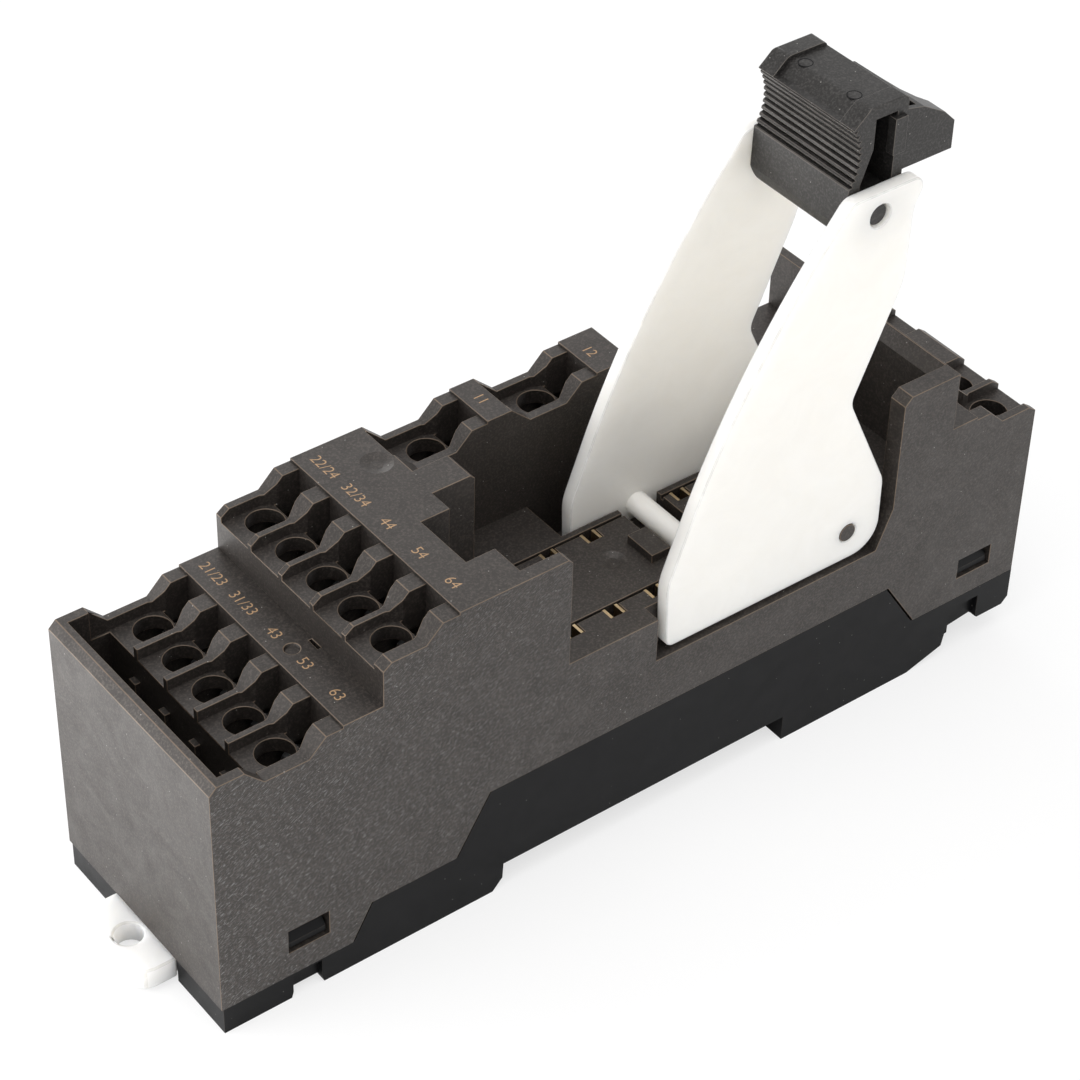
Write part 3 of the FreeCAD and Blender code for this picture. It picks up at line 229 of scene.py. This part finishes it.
def new_group(name: str, inputs: dict[str, float], outputs: tuple[str, ...]) -> ShaderTree:
    """Make a shader node group whose sockets all carry numbers.

    Args:
        name: the group's name.
        inputs: default value by input name.
        outputs: the outputs' names.

    Returns:
        The group's tree, with its input and output nodes named "in" and "out".
    """
    group = bpy.data.node_groups.new(name, "ShaderNodeTree")
    for label, default in inputs.items():
        socket = group.interface.new_socket(name=label, in_out="INPUT", socket_type=FLOAT_SOCKET)
        socket.default_value = default
    for label in outputs:
        group.interface.new_socket(name=label, in_out="OUTPUT", socket_type=FLOAT_SOCKET)
    tree = ShaderTree(group)
    tree.add("NodeGroupInput", name="in")
    tree.add("NodeGroupOutput", name="out")
    return tree


def grain_group() -> bpy.types.NodeTree:
    """Fine spark-eroded grain of a mould: height, roughness, light specks and a mottle.

    Returns:
        The node group.
    """
    tree = new_group("mould_grain", {"Scale": 9000.0, "Depth": 1.0, "Roughness": 0.5,
                                     "Spread": 0.1}, ("Height", "Roughness", "Speck", "Mottle"))
    place = tree.place()
    fine = tree.noise(place, tree.given("Scale"), detail=3.0, roughness=0.6)
    tree.give("Height", tree.math("MULTIPLY", fine, tree.given("Depth")))
    broad = tree.noise(place, BROAD_SCALE, detail=4.0, roughness=0.55)
    change = tree.math("MULTIPLY", tree.math("SUBTRACT", broad, 0.5), tree.given("Spread"))
    tree.give("Roughness", tree.math("ADD", tree.given("Roughness"), change))
    pits = tree.noise(place, PIT_SCALE, detail=2.0, roughness=0.6)
    tree.give("Mottle", tree.ramp(pits, 0.46, 0.70))
    cells = tree.add("ShaderNodeTexVoronoi", {"Vector": place, "Scale": SPECK_SCALE,
                                              "Randomness": 1.0})
    tree.give("Speck", tree.ramp(cells.outputs["Distance"], 0.055, 0.035))
    return tree.tree


def glint_group() -> bpy.types.NodeTree:
    """Painted glints: short slanting lighter strokes on both long sides, standing for light
    glinting on the ground mould's texture, strongest at the latch end.

    Returns:
        The node group.
    """
    tree = new_group("painted_glints", {"Length": 1900.0, "Width": 7200.0, "Start": -0.05,
                                       "Fade": 0.06, "Side": 13.7 * MM}, ("Glint",))
    place = tree.place()
    turned = tree.add("ShaderNodeMapping", {"Vector": place, "Rotation": (0.0, GLINT_TILT, 0.0)})
    scale = tree.add("ShaderNodeCombineXYZ", {
        "X": tree.given("Length"), "Y": tree.given("Width"), "Z": tree.given("Width")})
    stretched = tree.add("ShaderNodeVectorMath", {
        0: turned.outputs["Vector"], 1: scale.outputs["Vector"]}, operation="MULTIPLY")
    strokes = tree.noise(stretched.outputs["Vector"], 1.0, detail=2.0, distortion=0.6)
    parts = tree.add("ShaderNodeSeparateXYZ", {"Vector": place})
    run = tree.math("SUBTRACT", parts.outputs["X"], tree.given("Start"))
    near = tree.ramp(tree.math("DIVIDE", run, tree.given("Fade")), 0.0, 1.0, 1.0, GLINT_REST)
    across = tree.math("ABSOLUTE", parts.outputs["Y"])
    outside = tree.math("GREATER_THAN", across, tree.given("Side"))
    fading = tree.math("MULTIPLY", tree.ramp(strokes, 0.54, 0.70), near)
    tree.give("Glint", tree.math("MULTIPLY", fading, outside))
    return tree.tree


def flow_group() -> bpy.types.NodeTree:
    """Cloudy flow marks of glass-filled plastic: a mask of soft veins.

    Returns:
        The node group.
    """
    tree = new_group("flow_marks", {"Scale": 160.0, "Contrast": 1.0}, ("Mask",))
    cloud = tree.noise(tree.place(), tree.given("Scale"), detail=6.0, roughness=0.62,
                       distortion=1.6)
    tree.give("Mask", tree.math("MULTIPLY", tree.ramp(cloud, 0.36, 0.66), tree.given("Contrast")))
    return tree.tree


@dataclass(frozen=True)
class MouldedPlastic:
    """A moulded plastic with grain, flow marks, painted glints, a few light specks and a painted
    highlight on its rounded edges.
    """

    name: str
    color: Color
    cloud_color: Color
    # The edge colour and its low share give the painted highlight on the rounded edges, from a
    # dimmer to a full tone
    edge_highlight_color: Color
    gloss: Gloss
    edge_highlight_low: float = 0.7
    grain_scale: float = 9000.0
    grain_depth: float = 0.35
    bump: float = 0.25
    flow_scale: float = 160.0
    flow_contrast: float = 0.8
    cloud_gloss: float = -0.06
    speck: float = 0.0
    speck_color: Color = (0.3, 0.29, 0.27)
    # Share and colour of the painted glints on the long side walls
    streak: float = 0.0
    painted_glint_color: Color = (0.20, 0.20, 0.20)
    mottle: float = 0.0
    mottle_gain: float = 4.2
    specular: float = 0.5
    specular_tint: Color = WHITE
    subsurface: float = 0.0
    subsurface_scale: float = 0.002
    subsurface_radius: Color = (1.0, 0.96, 0.9)

    def build(self, groups: dict[str, bpy.types.NodeTree],
              edge: bool = False) -> bpy.types.Material:
        """Make the material.

        Args:
            groups: the shared node groups by name.
            edge: whether this is the material of the rounded edges, lighter to paint a highlight
                along them.

        Returns:
            The material.
        """
        material, tree = new_material(f"{self.name}_edge" if edge else self.name)
        grain = tree.add("ShaderNodeGroup", {
            "Scale": self.grain_scale, "Depth": self.grain_depth, "Roughness": self.gloss.value,
            "Spread": GLOSS_SPREAD}, node_tree=groups["grain"])
        flow = tree.add("ShaderNodeGroup", {
            "Scale": self.flow_scale, "Contrast": self.flow_contrast}, node_tree=groups["flow"])
        # The rounded edges get a painted highlight: a light colour between a dimmer and a full
        # tone, following the flow marks
        dim_edge_highlight = tuple(self.edge_highlight_low * part for part in self.edge_highlight_color)
        low, high = (dim_edge_highlight, self.edge_highlight_color) if edge else (self.color, self.cloud_color)
        color = tree.blend_color(flow.outputs["Mask"], low, high)
        if self.mottle > 0 and not edge:
            pale = tuple(self.mottle_gain * part for part in self.cloud_color)
            amount = tree.math("MULTIPLY", grain.outputs["Mottle"], self.mottle)
            color = tree.blend_color(amount, color, pale)
        # Painted glints: lighter slanting strokes on the long side walls, standing for light
        # glinting off their ground texture
        if self.streak > 0 and not edge:
            glints = tree.add("ShaderNodeGroup", node_tree=groups["streak"])
            amount = tree.math("MULTIPLY", glints.outputs["Glint"], self.streak)
            color = tree.blend_color(amount, color, self.painted_glint_color)
        if self.speck > 0:
            amount = tree.math("MULTIPLY", grain.outputs["Speck"], self.speck)
            color = tree.blend_color(amount, color, self.speck_color)
        bump = tree.add("ShaderNodeBump", {
            "Height": grain.outputs["Height"], "Strength": self.bump, "Distance": GRAIN_HEIGHT})
        cloudy = tree.math("MULTIPLY", flow.outputs["Mask"], self.cloud_gloss)
        shader = tree.add("ShaderNodeBsdfPrincipled", {
            "Base Color": color, "Normal": bump.outputs["Normal"],
            "Roughness": tree.math("ADD", grain.outputs["Roughness"], cloudy),
            "Specular IOR Level": self.specular, "Specular Tint": (*self.specular_tint, 1.0),
            "Subsurface Weight": self.subsurface, "Subsurface Radius": self.subsurface_radius,
            "Subsurface Scale": self.subsurface_scale})
        tree.add("ShaderNodeOutputMaterial", {"Surface": shader.outputs["BSDF"]})
        return material


@dataclass(frozen=True)
class SheetMetal:
    """Rolled strip or drawn wire with faint lines."""

    name: str
    color: Color
    roughness: float
    grain_scale: float = 4000.0
    grain_depth: float = 0.3
    spread: float = 0.2
    bump: float = 0.15

    def build(self, groups: dict[str, bpy.types.NodeTree]) -> bpy.types.Material:
        """Make the material.

        Args:
            groups: the shared node groups by name.

        Returns:
            The material.
        """
        material, tree = new_material(self.name)
        grain = tree.add("ShaderNodeGroup", {
            "Scale": self.grain_scale, "Depth": self.grain_depth, "Roughness": self.roughness,
            "Spread": self.spread}, node_tree=groups["grain"])
        bump = tree.add("ShaderNodeBump", {
            "Height": grain.outputs["Height"], "Strength": self.bump,
            "Distance": STRIP_LINE_HEIGHT})
        shader = tree.add("ShaderNodeBsdfPrincipled", {
            "Base Color": (*self.color, 1.0), "Metallic": 1.0,
            "Roughness": grain.outputs["Roughness"], "Normal": bump.outputs["Normal"]})
        tree.add("ShaderNodeOutputMaterial", {"Surface": shader.outputs["BSDF"]})
        return material


# Each plastic's edge colour paints a highlight along its rounded edges
PLASTICS = (
    # The housing paints glints on its long side walls
    MouldedPlastic(
        "housing_plastic", color=(0.0098, 0.0080, 0.0070), cloud_color=(0.018, 0.0150, 0.0131),
        edge_highlight_color=(0.15, 0.108, 0.075), gloss=Gloss.MATTE, grain_depth=0.5, bump=0.35,
        specular=0.56, specular_tint=(1.0, 0.94, 0.90), speck=0.9, streak=0.7, mottle=0.55,
        cloud_gloss=-0.10),
    MouldedPlastic(
        "base_plastic", color=(0.004, 0.004, 0.0045), cloud_color=(0.007, 0.007, 0.0075),
        edge_highlight_color=(0.06, 0.047, 0.036), gloss=Gloss.SATIN, flow_contrast=0.5, specular=0.12,
        speck=0.4),
    MouldedPlastic(
        "latch_plastic", color=(0.80, 0.788, 0.768), cloud_color=(0.85, 0.838, 0.818),
        edge_highlight_color=(0.86, 0.84, 0.80), gloss=Gloss.SATIN, bump=0.08, subsurface=1.0,
        subsurface_scale=0.004),
    MouldedPlastic(
        "lever_plastic", color=(0.87, 0.842, 0.79), cloud_color=(0.90, 0.872, 0.82),
        edge_highlight_color=(0.88, 0.86, 0.82), gloss=Gloss.SATIN, bump=0.06, subsurface=0.8,
        subsurface_scale=0.003),
    MouldedPlastic(
        "handle_plastic", color=(0.0095, 0.0088, 0.0085), cloud_color=(0.018, 0.017, 0.0163),
        edge_highlight_color=(0.11, 0.097, 0.085), gloss=Gloss.SATIN, flow_contrast=0.6, bump=0.35,
        specular=0.38, specular_tint=(1.0, 0.97, 0.94), speck=0.9, mottle=0.5))
METALS = (
    SheetMetal("contact_brass", (0.56, 0.43, 0.26), 0.32),
    SheetMetal("spring_steel", (0.45, 0.45, 0.46), 0.35))


@dataclass
class FinishBox:
    """All finishes of the socket, each made once."""

    made: dict[str, bpy.types.Material] = field(default_factory=dict)

    def build(self) -> None:
        """Make every material."""
        groups = {"grain": grain_group(), "flow": flow_group(), "streak": glint_group()}
        for finish in (*PLASTICS, *METALS):
            self.made[finish.name] = finish.build(groups)
        # Each plastic's second material paints a highlight on its rounded edges
        for finish in PLASTICS:
            self.made[f"{finish.name}_edge"] = finish.build(groups, edge=True)

    def get(self, name: str) -> bpy.types.Material:
        """Return one material by its name."""
        return self.made[name]


def add_object(name: str, data: bpy.types.ID) -> bpy.types.Object:
    """Put a new object into the scene.

    Args:
        name: its name.
        data: its mesh, text, lamp or camera.

    Returns:
        The object.
    """
    item = bpy.data.objects.new(name, data)
    bpy.context.scene.collection.objects.link(item)
    return item


def add_shape(name: str, shape: bmesh.types.BMesh,
              materials: tuple[bpy.types.Material, ...]) -> bpy.types.Object:
    """Turn a shape into an object of the scene, and free the shape.

    Args:
        name: the object's name.
        shape: the shape.
        materials: its finishes.

    Returns:
        The object.
    """
    mesh = bpy.data.meshes.new(name)
    shape.to_mesh(mesh)
    shape.free()
    for material in materials:
        mesh.materials.append(material)
    return add_object(name, mesh)


def merged_copy(node: bpy.types.Object, flatten: bool = False) -> bmesh.types.BMesh:
    """Copy a node's shape with joined corners and smooth faces.

    Args:
        node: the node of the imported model.
        flatten: whether the triangles of a flat face become one face.

    Returns:
        The shape.
    """
    shape = bmesh.new()
    shape.from_mesh(node.data)
    bmesh.ops.remove_doubles(shape, verts=shape.verts, dist=MERGE_DISTANCE)
    if flatten:
        bmesh.ops.dissolve_limit(shape, angle_limit=FLAT_ANGLE, verts=shape.verts,
                                 edges=shape.edges)
    for face in shape.faces:
        face.smooth = True
    return shape


def mark_edges(shape: bmesh.types.BMesh) -> int:
    """Keep corners and the shallow rims of broad flat faces crisp, and mark convex corners.

    Args:
        shape: the merged shape of a piece.

    Returns:
        How many edges get rounded.
    """
    weights = shape.edges.layers.float.new("bevel_weight_edge")
    count = 0
    for edge in shape.edges:
        if len(edge.link_faces) != 2:
            continue
        broad = any(len(face.verts) > FACET_CORNERS for face in edge.link_faces)
        limit = RIM_ANGLE if broad else CORNER_ANGLE
        angle = edge.calc_face_angle(0.0)
        if angle <= limit:
            continue
        edge.smooth = False
        if edge.is_convex and angle > CORNER_ANGLE:
            edge[weights] = 1.0
            count += 1
    return count


@dataclass
class Moulding:
    """One moulded piece: its node, its body, its finish and the rounding of its edges.

    With clamp, short edges hold the rounding back.
    """

    node: str
    body: str
    finish: str
    edge: float
    clamp: bool = False

    def dress(self, nodes: dict[str, bpy.types.Object], finishes: FinishBox) -> bpy.types.Object:
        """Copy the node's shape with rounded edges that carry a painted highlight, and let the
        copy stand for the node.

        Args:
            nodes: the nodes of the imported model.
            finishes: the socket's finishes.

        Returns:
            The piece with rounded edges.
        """
        node, name = nodes[self.node], f"{self.node}_shell"
        shape = merged_copy(node, flatten=True)
        marked = mark_edges(shape)
        # The bevel's faces take the second material, which paints a highlight along the rounded
        # edges
        finish_and_edge_highlight = (finishes.get(self.finish), finishes.get(f"{self.finish}_edge"))
        piece = add_shape(name, shape, finish_and_edge_highlight)
        bevel = piece.modifiers.new("edge", "BEVEL")
        bevel.width = self.edge
        bevel.segments = ROUNDING_STEPS
        bevel.material = len(finish_and_edge_highlight) - 1
        bevel.limit_method = "WEIGHT"
        bevel.use_clamp_overlap = self.clamp
        bevel.harden_normals = True
        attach(piece, self.body)
        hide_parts(node.name)
        log.info("softened %s: %d faces and %d edges to round", name, len(piece.data.polygons),
                 marked)
        return piece


@dataclass
class Metalwork:
    """The contacts and the clamp springs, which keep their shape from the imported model."""

    finishes: FinishBox
    contact_prefix: str = "contact_"
    clamp_prefix: str = "clamp_spring_"

    def dress(self, nodes: dict[str, bpy.types.Object]) -> int:
        """Give each metal node its finish.

        Args:
            nodes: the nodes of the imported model.

        Returns:
            How many nodes were dressed.
        """
        count = 0
        for prefix, finish in ((self.contact_prefix, "contact_brass"),
                               (self.clamp_prefix, "spring_steel")):
            for name, node in nodes.items():
                if name.startswith(prefix):
                    node.data.materials.clear()
                    node.data.materials.append(self.finishes.get(finish))
                    log.info("dressed %s", name)
                    count += 1
        return count


@dataclass
class LatchSpring:
    """The coil spring behind the latch, which in the real socket shortens as the latch is pulled
    out; here it keeps its imported shape.
    """

    node: str = "latch_spring"
    joint: str = "latch_slide"

    def build(self, nodes: dict[str, bpy.types.Object], joints: list[dict],
              material: bpy.types.Material) -> bpy.types.Object:
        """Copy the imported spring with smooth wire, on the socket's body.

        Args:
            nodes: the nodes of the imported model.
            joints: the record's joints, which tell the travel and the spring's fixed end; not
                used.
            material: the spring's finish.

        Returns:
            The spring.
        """
        shape = merged_copy(nodes[self.node])
        piece = add_shape(f"{self.node}_wire", shape, (material,))
        piece.data.set_sharp_from_angle(angle=SPRING_ANGLE)
        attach(piece, SOCKET_BODY)
        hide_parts(self.node)
        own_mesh(piece)
        return piece


@dataclass
class TerminalNumbers:
    """The plain numbers printed beside the terminals."""

    height: float = 1.2 * MM
    height_to_size: float = 1.4
    thickness: float = 0.006 * MM
    lift: float = 0.002 * MM
    thinning: float = 0.014 * MM
    curve_steps: int = 3
    turn: float = -math.pi / 2
    ink: Color = (0.46, 0.29, 0.155)
    dark_share: float = 0.6
    ink_roughness: float = 0.6
    tier_offset: float = 6.83 * MM
    strip_offset: float = 6.53 * MM
    strip_numbers: tuple[str, ...] = ("11", "12")
    plate_rise: float = 3.4 * MM
    entry_depth: float = 0.8 * MM
    prefix: str = "wire_entry_"

    def ink_material(self) -> bpy.types.Material:
        """Make the dull orange ink.

        Returns:
            The material.
        """
        material, tree = new_material("number_ink")
        dark = tuple(part * self.dark_share for part in self.ink)
        grain = tree.noise(tree.place(), INK_SCALE, detail=2.0)
        shader = tree.add("ShaderNodeBsdfPrincipled", {
            "Base Color": tree.blend_color(grain, dark, self.ink),
            "Roughness": self.ink_roughness})
        tree.add("ShaderNodeOutputMaterial", {"Surface": shader.outputs["BSDF"]})
        return material

    def build(self, mounts: list[dict]) -> int:
        """Print a number beside each terminal of the two tiers and of the strip.

        Args:
            mounts: the record's mounts, which tell where the wire entries are.

        Returns:
            How many numbers were made.
        """
        material = self.ink_material()
        count = 0
        for mount in mounts:
            label = mount["name"].removeprefix(self.prefix)
            if label == mount["name"] or label.startswith("a"):
                continue
            x, y, z = mount["pos_m"]
            offset = self.strip_offset if label in self.strip_numbers else self.tier_offset
            rise = self.entry_depth + self.plate_rise + self.lift
            self.print_number(label, Vector((x + offset, y, z + rise)), material)
            count += 1
        return count

    def print_number(self, label: str, spot: Vector, material: bpy.types.Material) -> None:
        """Make one number as thin flat print, read from the socket's latch end.

        Args:
            label: the number, with _ where two numbers share a terminal.
            spot: the middle of the number on the plate.
            material: the ink.
        """
        curve = bpy.data.curves.new(f"number_{label}_text", "FONT")
        curve.body = label.replace("_", "/")
        curve.size = self.height * self.height_to_size
        curve.extrude = self.thickness / 2
        curve.offset = -self.thinning
        curve.resolution_u = self.curve_steps
        curve.align_x = "CENTER"
        curve.align_y = "CENTER"
        holder = add_object(f"number_{label}_text", curve)
        bpy.context.view_layer.update()
        mesh = bpy.data.meshes.new_from_object(holder)
        mesh.transform(Matrix.Translation(spot) @ Matrix.Rotation(self.turn, 4, "Z"))
        bpy.data.objects.remove(holder)
        mesh.materials.clear()
        mesh.materials.append(material)
        piece = add_object(f"number_{label}", mesh)
        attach(piece, SOCKET_BODY)
        log.info("printed %s", piece.name)


@dataclass
class RingMarks:
    """Fine rings that the mould's round ejectors leave on the handle."""

    radius: float = 0.75 * MM
    width: float = 0.11 * MM
    height: float = 0.03 * MM
    steps: int = 32
    start_height: float = 80.0 * MM
    spots: tuple[tuple[float, float], ...] = ((27.05 * MM, -1.55 * MM), (27.05 * MM, -8.35 * MM))

    def build(self, handle: bpy.types.Object, material: bpy.types.Material) -> int:
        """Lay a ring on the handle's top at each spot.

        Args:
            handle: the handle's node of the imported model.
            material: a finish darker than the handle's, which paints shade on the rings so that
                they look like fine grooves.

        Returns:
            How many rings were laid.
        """
        skin = bmesh.new()
        skin.from_mesh(handle.data)
        tree = BVHTree.FromBMesh(skin)
        skin.free()
        down = Vector((0.0, 0.0, -1.0))
        count = 0
        for x, y in self.spots:
            place, normal, _, _ = tree.ray_cast(Vector((x, y, self.start_height)), down)
            if place is None:
                log.warning("no face under the ring at %.4f, %.4f", x, y)
                continue
            count += 1
            self.ring(f"handle_ring_{count}", place, normal, material)
        return count

    def ring(self, name: str, place: Vector, normal: Vector, material: bpy.types.Material) -> None:
        """Spin one thin ring.

        Args:
            name: the ring's name.
            place: its middle on the handle.
            normal: the direction that it faces.
            material: its finish.
        """
        shape = bmesh.new()
        corners = [shape.verts.new((self.radius + across, 0.0, up)) for across, up in (
            (0.0, -self.height), (0.0, self.height / 2), (-self.width, self.height / 2),
            (-self.width, -self.height))]
        profile = [shape.edges.new((corners[i], corners[i - 1])) for i in range(len(corners))]
        bmesh.ops.spin(shape, geom=[*corners, *profile], cent=(0.0, 0.0, 0.0),
                       axis=(0.0, 0.0, 1.0), angle=math.tau, steps=self.steps,
                       use_merge=True)
        bmesh.ops.remove_doubles(shape, verts=shape.verts, dist=MERGE_DISTANCE)
        bmesh.ops.recalc_face_normals(shape, faces=shape.faces)
        piece = add_shape(name, shape, (material,))
        turn = normal.to_track_quat("Z", "Y").to_matrix().to_4x4()
        piece.data.transform(Matrix.Translation(place) @ turn)
        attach(piece, LEVER_BODY)
        log.info("laid %s", name)


@dataclass(frozen=True)
class Lamp:
    """A soft square lamp that the camera doesn't see."""

    name: str
    place: Point
    target: Point
    power: float
    size: float

    def hang(self) -> None:
        """Put the lamp in its place, facing its target."""
        light = bpy.data.lights.new(self.name, "AREA")
        light.shape = "SQUARE"
        light.size = self.size
        light.energy = self.power
        lamp = add_object(self.name, light)
        ahead = Vector(self.target) - Vector(self.place)
        lamp.location = self.place
        lamp.rotation_euler = ahead.to_track_quat("-Z", "Y").to_euler()
        lamp.visible_camera = False


MIDDLE = (0.0, 0.0, 0.03)
LAMPS = (
    Lamp("lamp_table", (-0.235, 0.12, 0.055), (-0.235, 0.12, 0.0), power=1.4, size=0.24),
    Lamp("lamp_back", (0.08, 0.50, 0.15), MIDDLE, power=0.85, size=0.35),
    Lamp("lamp_over", (-0.10, -0.10, 0.62), MIDDLE, power=1.7, size=0.50),
    Lamp("lamp_left", (-0.50, -0.26, 0.22), MIDDLE, power=0.45, size=0.40),
    Lamp("lamp_front", (0.40, -0.38, 0.26), MIDDLE, power=0.5, size=0.40))


@dataclass
class Studio:
    """Pale floor, soft lights and the camera at the photo's angle.

    The camera was fitted to the photo in units of the body's width, in a drawing whose
    corner lies drawing_shift away from the frame's origin. Its angles are in degrees.
    """

    fit_unit: float = 27.5 * MM
    drawing_shift: Point = (-48.15 * MM, -13.75 * MM, 0.0)
    camera_place: Point = (-3.7038, -6.3632, 8.3284)
    azimuth: float = 51.772
    elevation: float = -39.884
    roll: float = 1.663
    focal_pixels: float = 3213.43
    picture_pixels: float = 1080.0
    sensor_width: float = 36.0
    clip_start: float = 0.01
    floor_reach: float = 3.0
    floor_color: Color = (0.93, 0.93, 0.93)
    shadow_color: Color = (0.30, 0.30, 0.30)
    floor_glow: float = 0.67
    world_strength: float = 0.72
    white_strength: float = 1.0

    def build(self) -> None:
        """Build the floor, the world, the lamps and the camera."""
        self.floor()
        self.world()
        for lamp in LAMPS:
            lamp.hang()
        self.camera()

    def floor(self) -> None:
        """Lay a wide pale floor just under the socket, which shows the camera a weak shadow."""
        material, tree = new_material("floor_paper")
        paper = tree.add("ShaderNodeBsdfDiffuse", {"Color": (*self.floor_color, 1.0)})
        shade = tree.add("ShaderNodeBsdfDiffuse", {"Color": (*self.shadow_color, 1.0)})
        glow = tree.add("ShaderNodeEmission", {
            "Color": (*WHITE, 1.0), "Strength": self.floor_glow})
        paths = tree.add("ShaderNodeLightPath")
        both = tree.add("ShaderNodeAddShader", {0: shade.outputs[0], 1: glow.outputs[0]})
        mixed = tree.add("ShaderNodeMixShader", {
            0: paths.outputs["Is Camera Ray"], 1: paper.outputs[0], 2: both.outputs[0]})
        tree.add("ShaderNodeOutputMaterial", {"Surface": mixed.outputs[0]})
        shape = bmesh.new()
        bmesh.ops.create_grid(shape, x_segments=1, y_segments=1, size=self.floor_reach)
        floor = add_shape("floor", shape, (material,))

    def world(self) -> None:
        """Give an even pale sky that shows white to the camera and in reflections."""
        world = bpy.data.worlds.new("studio")
        bpy.context.scene.world = world
        world.use_nodes = True
        world.node_tree.nodes.clear()
        tree = ShaderTree(world.node_tree)
        sky = tree.add("ShaderNodeBackground", {
            "Color": (*WHITE, 1.0), "Strength": self.world_strength})
        white = tree.add("ShaderNodeBackground", {
            "Color": (*WHITE, 1.0), "Strength": self.white_strength})
        rays = tree.add("ShaderNodeLightPath").outputs
        seen = tree.math("MAXIMUM", rays["Is Camera Ray"], rays["Is Glossy Ray"])
        mixed = tree.add("ShaderNodeMixShader", {0: seen, 1: sky.outputs[0], 2: white.outputs[0]})
        tree.add("ShaderNodeOutputWorld", {"Surface": mixed.outputs[0]})

    def camera(self) -> None:
        """Place the camera at the photo's angle and framing."""
        azimuth, elevation, roll = map(math.radians, (self.azimuth, self.elevation, self.roll))
        ahead = Vector((math.cos(elevation) * math.cos(azimuth),
                        math.cos(elevation) * math.sin(azimuth), math.sin(elevation)))
        right = ahead.cross(Vector((0.0, 0.0, 1.0))).normalized()
        up = right.cross(ahead)
        right_rolled = math.cos(roll) * right + math.sin(roll) * up
        up_rolled = -math.sin(roll) * right + math.cos(roll) * up
        place = Vector(self.camera_place) * self.fit_unit + Vector(self.drawing_shift)
        data = bpy.data.cameras.new("camera")
        data.sensor_width = self.sensor_width
        data.lens = data.sensor_width * self.focal_pixels / self.picture_pixels
        data.clip_start = self.clip_start
        camera = add_object("camera", data)
        turn = Matrix((right_rolled, up_rolled, -ahead)).transposed().to_4x4()
        camera.matrix_world = Matrix.Translation(place) @ turn
        bpy.context.scene.camera = camera


MOULDINGS = (
    Moulding("housing", SOCKET_BODY, "housing_plastic", edge=0.065 * MM),
    Moulding("base", SOCKET_BODY, "base_plastic", edge=0.10 * MM, clamp=True),
    Moulding("rail_latch", LATCH_BODY, "latch_plastic", edge=0.22 * MM),
    Moulding("lever", LEVER_BODY, "lever_plastic", edge=0.16 * MM),
    Moulding("release_handle", LEVER_BODY, "handle_plastic", edge=0.05 * MM))


def main() -> None:
    """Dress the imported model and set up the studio."""
    logging.basicConfig(level=logging.INFO, format="%(name)s: %(message)s")
    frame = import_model()
    bpy.context.scene.view_settings.view_transform = "Standard"
    finishes = FinishBox()
    finishes.build()
    nodes, record = frame["nodes"], frame["record"]
    # The real ejector rings take the darker base plastic, which paints the shade of fine grooves
    # on them
    rings = RingMarks().build(nodes["release_handle"], finishes.get("base_plastic"))
    log.info("laid %d ring marks", rings)
    for moulding in MOULDINGS:
        moulding.dress(nodes, finishes)
    log.info("dressed %d metal nodes", Metalwork(finishes).dress(nodes))
    LatchSpring().build(nodes, record["behaviour"]["joints"], finishes.get("spring_steel"))
    log.info("printed %d numbers", TerminalNumbers().build(record["mounts"]))
    Studio().build()


if __name__ == "__main__":
    main()
